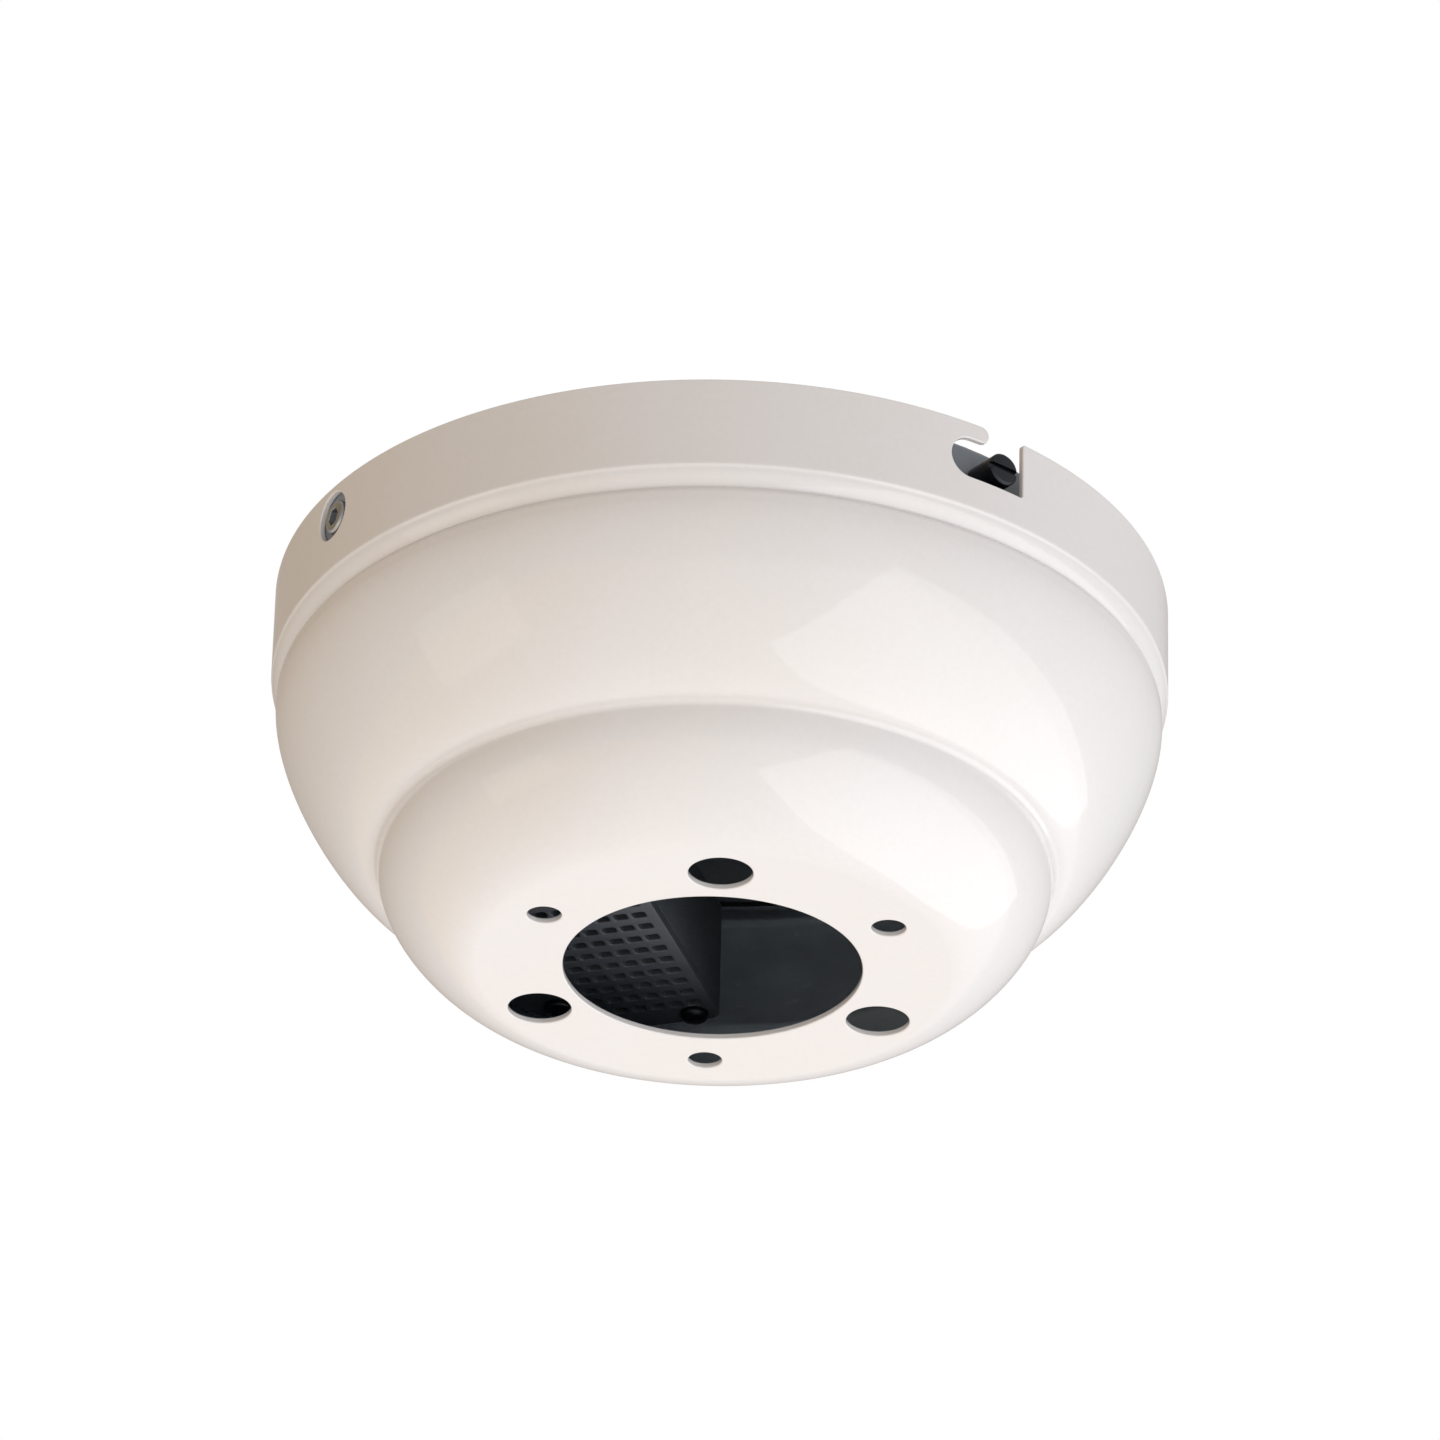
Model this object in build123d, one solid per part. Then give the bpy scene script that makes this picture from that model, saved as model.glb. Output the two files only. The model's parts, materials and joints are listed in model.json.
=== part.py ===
from build123d import *
import os
from math import asin, cos, degrees, radians, sin, sqrt

# Flush-mount ceiling canopy with a bayonet rim. The origin is the middle of the
# ceiling face, +Z points up into the ceiling, -Y is the front. Millimetres.
os.makedirs("parts", exist_ok=True)

# ---------------------------------------------------------------- canopy shell
rim_radius = 80.0
shell_height = 72.0
shell_wall = 1.2
rim_gap = 0.5                  # air between the rim and the ceiling
bead_top = 17.0                # below the rim
bead_height = 4.4
bead_groove = 0.3              # depth of the line above the bead
bead_step = 2.1                # how far the bead's lower line lies inside the skirt
bead_crown = 0.25              # how far the bead bulges between its two lines
bulge_start = 1.1              # how far the bulge starts inside the skirt
shoulder_height = 2.2          # straight wall between the bead and the bulge
bulge_draft = 0.4
bulge_fullness = 0.33          # share of the bulge that its end tangents reach
crease_radius = 59.7
crease_height = 20.0           # above the flat bottom
crease_fillet = 1.2
dome_fullness = 0.44
flat_radius = 41.5
hub_hole_radius = 26.3

# ------------------------------------------------- holes round the hub opening
hole_circle_radius = 34.6
isolator_hole_radius = 5.6
screw_hole_radius = 3.0
hole_count = 3
hole_start_angle = -88.4

# --------------------------------------------------------------- bayonet slots
slot_front_angle = 34.7        # from the front towards +X, at the slot's middle
slot_length = 15.3
slot_height = 7.7
lip_height = 3.2
mouth_width = 7.6

# --------------------------------------------------------- lock screws in rim
lock_front_angle = -59.2
lock_depth = 5.9               # below the rim
lock_hole_radius = 4.5
lock_screw_radius = 3.0
lock_screw_recess = 0.3        # inside the skirt's outer face
lock_travel = 1.25             # of the pad, from slack to tight
socket_width = 3.0
socket_depth = 1.6
saddle_thickness = 1.2
saddle_width = 20.0
saddle_height = 10.6
boss_wall = 1.75
boss_reach = 2.2
pad_radius = 2.6
pad_thickness = 1.2
pad_stem_radius = 1.2
pad_stem_length = 1.5
pad_gap = 0.2                  # between the pad and the screw's end
pad_clearance = 0.05           # left between the tight pad and the flange

# ---------------------------------------------------------------- hanger plate
plate_thickness = 1.6
plate_bend = 1.4
flange_gap = 5.8               # from the skirt's inner face to the flange
flange_height = 18.5
foot_reach = 1.0
foot_thickness = 1.2
wire_hole_radius = 19.0
box_slot_spacing = 79.4
box_slot_length = 20.0
box_slot_radius = 2.6
stud_radius = 3.0
stud_recess = 0.4
stud_driver_width = 1.0
stud_driver_depth = 0.9
nut_width = 7.0
nut_height = 3.2
ground_screw_at = (30.0, -26.0)

# ------------------------------------------------------------------- slip ring
ring_height = 4.5
ring_skirt_clearance = 0.3
ring_flange_clearance = 0.3
ring_foot_clearance = 0.2
ring_notch_clearance = 1.5
ring_notch_gap = 0.3           # between the notch's floor and a passing pad

# ----------------------------------------------------------- running clearance
running = 0.05
free_play = 0.1

# -------------------------------------------------------------- small fasteners
screw_shank = 2.0
screw_head_radius = 4.0
screw_head_height = 2.6
case_screw_shank = 1.3
case_screw_head_radius = 2.6
case_screw_head_height = 1.5
washer_radius = 4.6
washer_thickness = 0.6
washer_teeth = 10

# ------------------------------------------------------------------- receiver
receiver_turn = -17.2          # about +Z
receiver_floor = 12.0          # vented lid above the canopy's flat bottom
case_right = -10.2             # local X of the side nearest the axis
case_left = -46.0
case_front = -34.0
case_back = 39.4
case_round = 52.0              # radius of the side that follows the canopy
case_height = 20.0
case_wall = 2.0
case_corner = 2.0
lid_thickness = 2.0
vent_width = 2.5
vent_height = 2.0
vent_column_pitch = 3.4
vent_row_pitch = 4.2
vent_columns = 6
vent_rows = 15
vent_margin = 2.1              # plain border beside the first column
vent_last_row = 32.6
boss_radius = 3.0
lid_screw_inset = 4.3
lid_screw_back_inset = 3.0
lid_screw_far = ((-37.5, 28.0), (-37.5, -24.0))
bracket_width = 30.0
bracket_thickness = 1.5
bracket_length = 19.0
bracket_inner = -22.5
bracket_screw_spacing = 18.0
bracket_screw_inset = 10.0
bushing_wall = 1.6
bushing_brim = 2.2
bushing_brim_height = 1.4

# ------------------------------------------------------ inside the receiver
board_thickness = 1.6
board_height = 2.6             # underside above the lid's inner face
board_size = (24.0, 44.0)
board_middle = (-28.5, 2.0)
board_edge = 0.6               # bare border beside the components
post_radius = 1.8
relay_size = (9.0, 7.0, 10.0)
relay_count = 3
relay_pitch = 9.0
relay_offset = 5.0
capacitor_size = (7.0, 8.0, 11.5)
capacitor_offset = 17.6
sink_size = (8.0, 13.0, 11.0)
sink_fins = 5
sink_fin_depth = 6.0
sink_offset = -15.4
switch_size = (6.2, 11.7)
switch_window_gap = 0.25
switch_middle = (-38.6, 2.0)
switch_recess = 0.5
switch_poles = 4
switch_pitch = 2.54
slider_size = 1.2
slider_depth = 1.2
slider_stand = 1.0
slider_travel = 1.9
terminal_size = (19.0, 8.0, 10.0)
terminal_middle = -25.0
terminal_poles = 4
terminal_pitch = 4.4
terminal_entry_radius = 1.6
terminal_entry_depth = 5.5
terminal_screw_radius = 1.5
terminal_screw_length = 5.0
terminal_screw_recess = 0.4

# ------------------------------------------------------------- derived places
FRONT = -90.0
rim_z = -rim_gap
bottom_z = rim_z - shell_height
skirt_inner = rim_radius - shell_wall
flange_outer = skirt_inner - flange_gap
flange_inner = flange_outer - plate_thickness
foot_z = -flange_height
ring_z = foot_z + foot_thickness + ring_foot_clearance
slot_top_z = rim_z - lip_height
slot_middle_z = slot_top_z - slot_height / 2
stud_z = slot_top_z - stud_radius - free_play
mouth_offset = (slot_length - mouth_width) / 2
slot_angles = [FRONT + slot_front_angle + half for half in (0.0, 180.0)]
stud_angles = [angle + degrees(asin(mouth_offset / rim_radius)) for angle in slot_angles]
lock_angles = [FRONT + lock_front_angle + half for half in (0.0, 180.0)]
lock_z = rim_z - lock_depth
saddle_inner = skirt_inner - saddle_thickness
boss_inner = saddle_inner - boss_reach
pad_inner = flange_outer + pad_clearance + lock_travel
pad_outer = pad_inner + pad_thickness
screw_inner = pad_outer + pad_gap
screw_outer = rim_radius - lock_screw_recess
lock_screw_length = screw_outer - screw_inner
lid_z = bottom_z + receiver_floor
case_z = lid_z + lid_thickness
case_top = case_z + case_height
board_z = case_z + board_height
board_top = board_z + board_thickness
BASE = (Align.CENTER, Align.CENTER, Align.MIN)
TOP = (Align.CENTER, Align.CENTER, Align.MAX)
RECEIVER = Rot(0, 0, receiver_turn)


def save(shape, node):
    """Write one node as a STEP file."""
    export_step(shape, os.path.join("parts", node + ".step"))


def tube(outer, inner, low, high):
    """A plain ring about the Z axis."""
    height = high - low
    return Pos(0, 0, low) * (Cylinder(outer, height, align=BASE) - Cylinder(inner, height, align=BASE))


def outward(angle, radius, height):
    """Place with local Z along the radius at this angle and local Y upright."""
    turn = radians(angle)
    normal = (cos(turn), sin(turn), 0)
    tangent = (-sin(turn), cos(turn), 0)
    origin = (radius * cos(turn), radius * sin(turn), height)
    return Plane(origin=origin, x_dir=tangent, z_dir=normal).location


def cross_recess(width, depth):
    """A driver cross, its top at the origin."""
    bar = Box(width, width / 4, depth, align=TOP)
    return bar + Rot(0, 0, 90) * bar


def pan_screw(head, head_height, shank, length):
    """A pan-head screw, its head's seat at the origin and the head above it."""
    body = Cylinder(head, head_height, align=BASE)
    body = fillet(body.edges().group_by(Axis.Z)[-1], head_height * 0.45)
    body += Cylinder(shank, length, align=TOP)
    return body - Pos(0, 0, head_height) * cross_recess(head * 1.1, head_height * 0.6)


def turned_face(edges):
    """Revolve a closed outline in the XZ plane about Z."""
    return revolve(make_face(edges), Axis.Z)


def canopy_outline(inset):
    """The shell's outer side, or with an inset the inner side, from rim to flat."""
    skirt = rim_radius - inset
    bead_z = rim_z - bead_top
    shoulder_z = bead_z - bead_height
    bulge_z = shoulder_z - shoulder_height
    bulge_r = rim_radius - bulge_start - inset
    crease_z = bottom_z + crease_height
    fold = crease_fillet + inset
    fold_r = crease_radius + crease_fillet
    dome_z = crease_z - crease_fillet
    wall_r = crease_radius - inset
    floor_z = bottom_z + inset
    bulge_drop = (bulge_z - crease_z) * bulge_fullness
    bulge_run = (bulge_r - fold_r) * bulge_fullness
    dome_drop = (dome_z - bottom_z) * dome_fullness
    dome_run = (crease_radius - flat_radius) * dome_fullness
    bulge_end = (fold_r, 0, crease_z + inset)
    dome_start = (wall_r, 0, dome_z)
    fold_middle = (fold_r - fold * sin(radians(45)), 0, dome_z + fold * cos(radians(45)))
    line_z = shoulder_z + bead_step - bulge_start
    edges = [Line((skirt, 0, rim_z), (skirt, 0, bead_z))]
    if inset:
        edges.append(Line((skirt, 0, bead_z), (skirt - bead_step, 0, line_z)))
    else:
        crest_r = skirt - bead_groove
        crest_z = bead_z - bead_groove
        crown = ((crest_r + skirt - bead_step) / 2 + bead_crown, 0, (crest_z + line_z) / 2)
        edges.append(Line((skirt, 0, bead_z), (crest_r, 0, crest_z)))
        edges.append(ThreePointArc((crest_r, 0, crest_z), crown, (skirt - bead_step, 0, line_z)))
    edges.append(Line((skirt - bead_step, 0, line_z), (bulge_r, 0, shoulder_z)))
    edges.append(Line((bulge_r, 0, shoulder_z), (bulge_r, 0, bulge_z)))
    edges.append(Bezier((bulge_r, 0, bulge_z), (bulge_r - bulge_draft, 0, bulge_z - bulge_drop),
                        (fold_r + bulge_run, 0, crease_z + inset), bulge_end))
    edges.append(ThreePointArc(bulge_end, fold_middle, dome_start))
    edges.append(Bezier(dome_start, (wall_r, 0, dome_z - dome_drop),
                        (flat_radius + dome_run, 0, floor_z), (flat_radius, 0, floor_z)))
    edges.append(Line((flat_radius, 0, floor_z), (hub_hole_radius, 0, floor_z)))
    return edges


def slot_cutter(angle):
    """The L-shaped bayonet slot, open to the rim at its +tangent end."""
    left = -slot_length / 2
    right = slot_length / 2
    low = slot_top_z - slot_height
    end_radius = slot_height / 2
    lip_radius = lip_height / 2
    tip = right - mouth_width
    run = Pos((left + end_radius + right) / 2, slot_middle_z) * Rectangle(right - left - end_radius, slot_height)
    end = Pos(left + end_radius, slot_middle_z) * Circle(end_radius)
    open_height = rim_z + shell_wall - low
    mouth = Pos((tip + right) / 2, low + open_height / 2) * Rectangle(mouth_width, open_height)
    nose = Pos(tip - lip_radius / 2, rim_z - lip_radius) * Rectangle(lip_radius, lip_height)
    nose -= Pos(tip - lip_radius, rim_z - lip_radius) * Circle(lip_radius)
    return outward(angle, flange_outer, 0) * extrude(run + end + mouth + nose, rim_radius - flange_outer + 5)


def canopy_shell():
    outer = canopy_outline(0)
    inner = canopy_outline(shell_wall)
    rim = Line((rim_radius, 0, rim_z), (skirt_inner, 0, rim_z))
    edge = Line((hub_hole_radius, 0, bottom_z), (hub_hole_radius, 0, bottom_z + shell_wall))
    shell = turned_face(outer + [edge] + inner + [rim])
    for number in range(hole_count):
        turn = hole_start_angle + number * 360 / hole_count
        for angle, radius in ((turn, isolator_hole_radius), (turn + 180 / hole_count, screw_hole_radius)):
            place = Rot(0, 0, angle) * Pos(hole_circle_radius, 0, bottom_z)
            shell -= place * Cylinder(radius, shell_wall * 4)
    for angle in slot_angles:
        shell -= slot_cutter(angle)
    for angle in lock_angles:
        shell -= outward(angle, skirt_inner, lock_z) * Cylinder(lock_hole_radius, shell_wall * 6)
    return shell


def screw_bush(angle):
    """Curved saddle welded inside the skirt, with a threaded boss for the lock screw."""
    saddle = tube(skirt_inner, saddle_inner, lock_z - saddle_height / 2, lock_z + saddle_height / 2)
    saddle &= outward(angle, 0, lock_z) * Box(saddle_width, saddle_height, rim_radius * 2, align=BASE)
    place = outward(angle, boss_inner, lock_z)
    saddle += place * Cylinder(lock_screw_radius + boss_wall, boss_reach + saddle_thickness / 2, align=BASE)
    return saddle - place * Cylinder(lock_screw_radius + running, rim_radius, align=BASE)


def lock_screw(angle):
    """Headless screw with a hex socket outside and a pocket for the pad's stem inside."""
    place = outward(angle, screw_inner, lock_z)
    screw = Cylinder(lock_screw_radius, lock_screw_length, align=BASE)
    screw = chamfer(screw.edges().group_by(Axis.Z)[-1], 0.4)
    socket = extrude(RegularPolygon(socket_width / 2, 6, major_radius=False), socket_depth)
    screw -= Pos(0, 0, lock_screw_length - socket_depth) * socket
    screw -= Cylinder(pad_stem_radius + running, pad_stem_length + running - pad_gap, align=BASE)
    return place * screw


def pressure_pad(angle):
    """Swivel pad that the lock screw drives against the flange."""
    pad = Cylinder(pad_radius, pad_thickness, align=TOP)
    pad = fillet(pad.edges().group_by(Axis.Z)[0], 0.3)
    pad += Cylinder(pad_stem_radius, pad_stem_length - running, align=BASE)
    return outward(angle, pad_outer, lock_z) * pad


def bayonet_stud(angle):
    """Shoulder screw through the flange; its shoulder stands in the canopy's slot."""
    shoulder = rim_radius - stud_recess - flange_outer
    stud = Cylinder(stud_radius, shoulder, align=BASE)
    stud = chamfer(stud.edges().group_by(Axis.Z)[-1], 0.4)
    stud += Cylinder(screw_shank, plate_thickness + nut_height + 0.6, align=TOP)
    stud -= Pos(0, 0, shoulder) * Box(stud_radius * 3, stud_driver_width, stud_driver_depth * 2)
    return outward(angle, flange_outer, stud_z) * stud


def stud_nut(angle):
    nut = extrude(RegularPolygon(nut_width / 2, 6, major_radius=False), nut_height)
    nut -= Cylinder(screw_shank + running, nut_height, align=BASE)
    corner = nut_width / 2 / cos(radians(30))
    seat = sqrt(flange_inner ** 2 - corner ** 2) - free_play / 2
    return outward(angle, seat - nut_height, stud_z) * nut


def bracket_screw_places(height):
    """Local places of the bracket's screws, in the receiver's frame."""
    x = bracket_inner - bracket_screw_inset
    middle = board_middle[1]
    return [Pos(x, middle + side * bracket_screw_spacing / 2, height) for side in (-1, 1)]


def hanger_plate():
    """Pressed ceiling plate: a disc with a turned-down flange and a small outward foot."""
    bend = plate_bend
    corner = flange_outer - bend
    arc_middle = (corner + bend * sin(radians(45)), 0, -bend + bend * cos(radians(45)))
    foot_outer = flange_outer + foot_reach
    foot_top = foot_z + foot_thickness
    outline = [Line((wire_hole_radius, 0, 0), (corner, 0, 0)),
               ThreePointArc((corner, 0, 0), arc_middle, (flange_outer, 0, -bend)),
               Polyline((flange_outer, 0, -bend), (flange_outer, 0, foot_top), (foot_outer, 0, foot_top),
                        (foot_outer, 0, foot_z), (flange_inner, 0, foot_z),
                        (flange_inner, 0, -plate_thickness), (wire_hole_radius, 0, -plate_thickness),
                        (wire_hole_radius, 0, 0))]
    plate = turned_face(outline)
    for side in (-1, 1):
        slot = extrude(SlotOverall(box_slot_length, box_slot_radius * 2, rotation=90), plate_thickness * 4, both=True)
        plate -= Pos(0, side * box_slot_spacing / 2, 0) * slot
    for angle in stud_angles:
        plate -= outward(angle, flange_inner, stud_z) * Cylinder(screw_shank + free_play, plate_thickness * 4)
    holes = [RECEIVER * place for place in bracket_screw_places(0)] + [Pos(*ground_screw_at, 0)]
    for place in holes:
        plate -= place * Cylinder(screw_shank + running, plate_thickness * 4)
    return plate


def slip_ring():
    """Rubber ring on the flange's foot, notched so that the screw bushes can pass."""
    outer = skirt_inner - ring_skirt_clearance
    ring = tube(outer, flange_outer + ring_flange_clearance, ring_z, ring_z + ring_height)
    notch_width = saddle_width + 2 * ring_notch_clearance
    for angle in lock_angles:
        notch = Box(notch_width, ring_height * 3, rim_radius, align=BASE)
        ring -= outward(angle, pad_inner - ring_notch_gap, ring_z) * notch
    return ring


def wire_bushing():
    """Snap-in bushing that lines the plate's wire opening."""
    brim = wire_hole_radius + bushing_brim
    inner = wire_hole_radius - bushing_wall
    sleeve_top = -plate_thickness * 0.1
    ring = tube(brim, inner, -plate_thickness - bushing_brim_height, -plate_thickness)
    return ring + tube(wire_hole_radius - running, inner, -plate_thickness, sleeve_top)


def ground_washer():
    x, y = ground_screw_at
    washer = Cylinder(washer_radius, washer_thickness, align=TOP)
    washer -= Cylinder(screw_shank + running, washer_thickness, align=TOP)
    for tooth in range(washer_teeth):
        gap = Pos(washer_radius, 0, 0) * Box(1.6, 0.8, washer_thickness * 2)
        washer -= Rot(0, 0, tooth * 360 / washer_teeth) * gap
    return Pos(x, y, -plate_thickness) * washer


def hung_screw(seat):
    """Pan-head screw driven up from below, its head's seat at this height."""
    return Rot(180, 0, 0) * pan_screw(screw_head_radius, screw_head_height, screw_shank, -seat - free_play)


def receiver_bracket():
    """C-shaped strip between the plate and the receiver, in the receiver's frame."""
    top = -plate_thickness
    height = top - case_top
    middle = board_middle[1]
    outer = bracket_inner - bracket_length
    strip = Pos(outer, middle, case_top) * Box(bracket_length, bracket_width, height,
                                               align=(Align.MIN, Align.CENTER, Align.MIN))
    hollow = Pos(outer - 1, middle, case_top + bracket_thickness)
    strip -= hollow * Box(bracket_length - bracket_thickness + 1, bracket_width + 2,
                          height - 2 * bracket_thickness, align=(Align.MIN, Align.CENTER, Align.MIN))
    bends = strip.edges().filter_by(Axis.Y).filter_by(lambda edge: edge.center().X > bracket_inner - 0.1)
    strip = fillet(bends, bracket_thickness)
    for place in bracket_screw_places(top):
        strip -= place * Cylinder(screw_shank + free_play, bracket_thickness * 4)
    for place in bracket_screw_places(case_top):
        strip -= place * Cylinder(case_screw_shank + free_play, bracket_thickness * 4)
    return RECEIVER * strip


def case_plan(inset):
    """The receiver's D-shaped plan, drawn in by this much all round."""
    width = case_right - case_left - 2 * inset
    length = case_back - case_front - 2 * inset
    box = Pos((case_left + case_right) / 2, (case_front + case_back) / 2) * Rectangle(width, length)
    plan = box & Circle(case_round - inset)
    return fillet(plan.vertices(), case_corner)


def lid_screw_points():
    near = case_right - lid_screw_inset
    return [(near, case_back - lid_screw_back_inset), (near, case_front + lid_screw_back_inset)] + list(lid_screw_far)


def terminal_poles_x():
    """Local X of each terminal."""
    first = terminal_middle - (terminal_poles - 1) * terminal_pitch / 2
    return [first + pole * terminal_pitch for pole in range(terminal_poles)]


def receiver_case():
    case = Pos(0, 0, case_z) * extrude(case_plan(0), case_height)
    case -= Pos(0, 0, case_z) * extrude(case_plan(case_wall), case_height - case_wall)
    inside = case_height - case_wall
    limit = Pos(0, 0, case_z) * extrude(case_plan(case_wall / 2), case_height)
    for x, y in lid_screw_points():
        boss = Pos(x, y, case_z) * Cylinder(boss_radius, inside, align=BASE)
        case += boss & limit
        case -= Pos(x, y, case_z) * Cylinder(case_screw_shank + running, inside * 0.6, align=BASE)
    post = case_top - case_wall - board_top
    for place in bracket_screw_places(board_top):
        case += place * Cylinder(post_radius + case_screw_shank, post, align=BASE)
    for place in bracket_screw_places(case_top):
        case -= place * Cylinder(case_screw_shank + running, 8.0, align=TOP)
    return RECEIVER * case


def vent_places():
    """Local middles of the lid's vents."""
    first = case_right - vent_margin - vent_width / 2
    columns = [first - column * vent_column_pitch for column in range(vent_columns)]
    rows = [vent_last_row - row * vent_row_pitch for row in range(vent_rows)]
    return [(x, y) for x in columns for y in rows]


def receiver_lid():
    lid = Pos(0, 0, lid_z) * extrude(case_plan(0), lid_thickness)
    vents = [Pos(x, y) * Rectangle(vent_width, vent_height) for x, y in vent_places()]
    window = Pos(*switch_middle) * Rectangle(switch_size[0] + 2 * switch_window_gap,
                                             switch_size[1] + 2 * switch_window_gap)
    lid -= Pos(0, 0, lid_z - 1) * extrude(Sketch() + vents + [window], lid_thickness + 2)
    for x, y in lid_screw_points():
        lid -= Pos(x, y, lid_z) * Cylinder(case_screw_shank + free_play, lid_thickness * 4)
    return RECEIVER * lid


def lid_screws():
    length = lid_thickness + case_height * 0.4
    screw = Rot(180, 0, 0) * pan_screw(case_screw_head_radius, case_screw_head_height, case_screw_shank, length)
    return [RECEIVER * Pos(x, y, lid_z) * screw for x, y in lid_screw_points()]


def circuit_board():
    board = Pos(*board_middle, board_z) * Box(*board_size, board_thickness, align=BASE)
    return RECEIVER * board


def on_board(x, y, size):
    """A block that stands on the circuit board, at this offset from the board's middle."""
    place = Pos(board_middle[0] + x, board_middle[1] + y, board_top)
    return RECEIVER * place * Box(*size, align=BASE)


def relays():
    rows = [(number - (relay_count - 1) / 2) * relay_pitch for number in range(relay_count)]
    x = board_size[0] / 2 - relay_size[0] / 2 - board_edge
    return [on_board(x, row + relay_offset, relay_size) for row in rows]


def speed_capacitors():
    x = capacitor_size[0] / 2 - board_size[0] / 2 + board_edge
    blocks = [on_board(x, side * capacitor_offset, capacitor_size) for side in (-1, 1)]
    return [fillet(block.edges().filter_by(Axis.Z), 1.2) for block in blocks]


def heat_sink():
    x = board_size[0] / 2 - sink_size[0] / 2 - board_edge
    width, length, height = sink_size
    block = Box(width, length, height, align=BASE)
    step = length / sink_fins
    for gap in range(1, sink_fins):
        cut = Pos(width / 2 - sink_fin_depth, gap * step - length / 2, 0)
        block -= cut * Box(sink_fin_depth * 2, step * 0.45, height * 3, align=(Align.MIN, Align.CENTER, Align.CENTER))
    return RECEIVER * Pos(board_middle[0] + x, board_middle[1] + sink_offset, board_top) * block


def slider_places():
    """Local middles of the code sliders at rest, at the inner end of their slots."""
    x, y = switch_middle
    first = y - (switch_poles - 1) * switch_pitch / 2
    return [(x - slider_travel / 2, first + pole * switch_pitch) for pole in range(switch_poles)]


def code_switch():
    low = lid_z + switch_recess
    body = Pos(*switch_middle, low) * Box(*switch_size, board_z - low, align=BASE)
    for x, y in slider_places():
        track = Box(slider_size + slider_travel + 2 * free_play, slider_size + 2 * free_play, slider_depth, align=BASE)
        body -= Pos(x + slider_travel / 2, y, low) * track
    return RECEIVER * body


def code_slider(x, y):
    low = lid_z + switch_recess
    height = slider_stand + slider_depth - free_play
    return RECEIVER * Pos(x, y, low - slider_stand) * Box(slider_size, slider_size, height, align=BASE)


def terminal_block():
    width, depth, height = terminal_size
    place = Pos(terminal_middle, case_front - depth / 2, case_z + case_wall * 2)
    block = place * Box(width, depth, height, align=BASE)
    for x in terminal_poles_x():
        mouth = Pos(x, case_front - depth, case_z + case_wall * 2 + height * 0.62) * Rot(90, 0, 0)
        block -= mouth * Cylinder(terminal_entry_radius, terminal_entry_depth * 2)
        well = Pos(x, case_front - depth / 2, case_z + case_wall * 2)
        block -= well * Cylinder(terminal_screw_radius + running, terminal_screw_length + terminal_screw_recess,
                                 align=BASE)
    return RECEIVER * block


def terminal_screws():
    low = case_z + case_wall * 2 + terminal_screw_recess
    screw = Cylinder(terminal_screw_radius, terminal_screw_length, align=BASE)
    screw -= Box(terminal_screw_radius * 3, 0.5, 1.2)
    return [RECEIVER * Pos(x, case_front - terminal_size[1] / 2, low) * screw for x in terminal_poles_x()]


save(canopy_shell(), "canopy_shell")
save(hanger_plate(), "hanger_plate")
save(slip_ring(), "slip_ring")
save(wire_bushing(), "wire_bushing")
for number, angle in enumerate(stud_angles, 1):
    save(bayonet_stud(angle), f"bayonet_stud_{number}")
    save(stud_nut(angle), f"stud_nut_{number}")
for number, angle in enumerate(lock_angles, 1):
    save(screw_bush(angle), f"screw_bush_{number}")
    save(lock_screw(angle), f"lock_screw_{number}")
    save(pressure_pad(angle), f"pressure_pad_{number}")
save(ground_washer(), "ground_washer")
save(Pos(*ground_screw_at, -plate_thickness - washer_thickness) * hung_screw(-plate_thickness - washer_thickness),
     "ground_screw")
save(receiver_bracket(), "receiver_bracket")
foot_seat = -plate_thickness - bracket_thickness
save(Compound(children=[RECEIVER * place * hung_screw(foot_seat) for place in bracket_screw_places(foot_seat)]),
     "bracket_plate_screws")
case_screw = pan_screw(case_screw_head_radius, case_screw_head_height, case_screw_shank, 7.0)
save(Compound(children=[RECEIVER * place * case_screw for place in bracket_screw_places(case_top + bracket_thickness)]),
     "bracket_case_screws")
save(receiver_case(), "receiver_case")
save(receiver_lid(), "receiver_lid")
save(Compound(children=lid_screws()), "lid_screws")
save(circuit_board(), "circuit_board")
save(Compound(children=relays()), "relays")
save(Compound(children=speed_capacitors()), "speed_capacitors")
save(heat_sink(), "heat_sink")
save(code_switch(), "code_switch")
for number, (x, y) in enumerate(slider_places(), 1):
    save(code_slider(x, y), f"code_slider_{number}")
save(terminal_block(), "terminal_block")
save(Compound(children=terminal_screws()), "terminal_screws")
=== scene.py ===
import json
from math import cos, degrees, pi, radians, sin, sqrt

import bmesh
import bpy
from bpy.props import FloatProperty, FloatVectorProperty, IntProperty, PointerProperty
from bpy.types import Operator, Panel, PropertyGroup
from mathutils import Matrix, Vector
from mathutils.geometry import delaunay_2d_cdt


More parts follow.
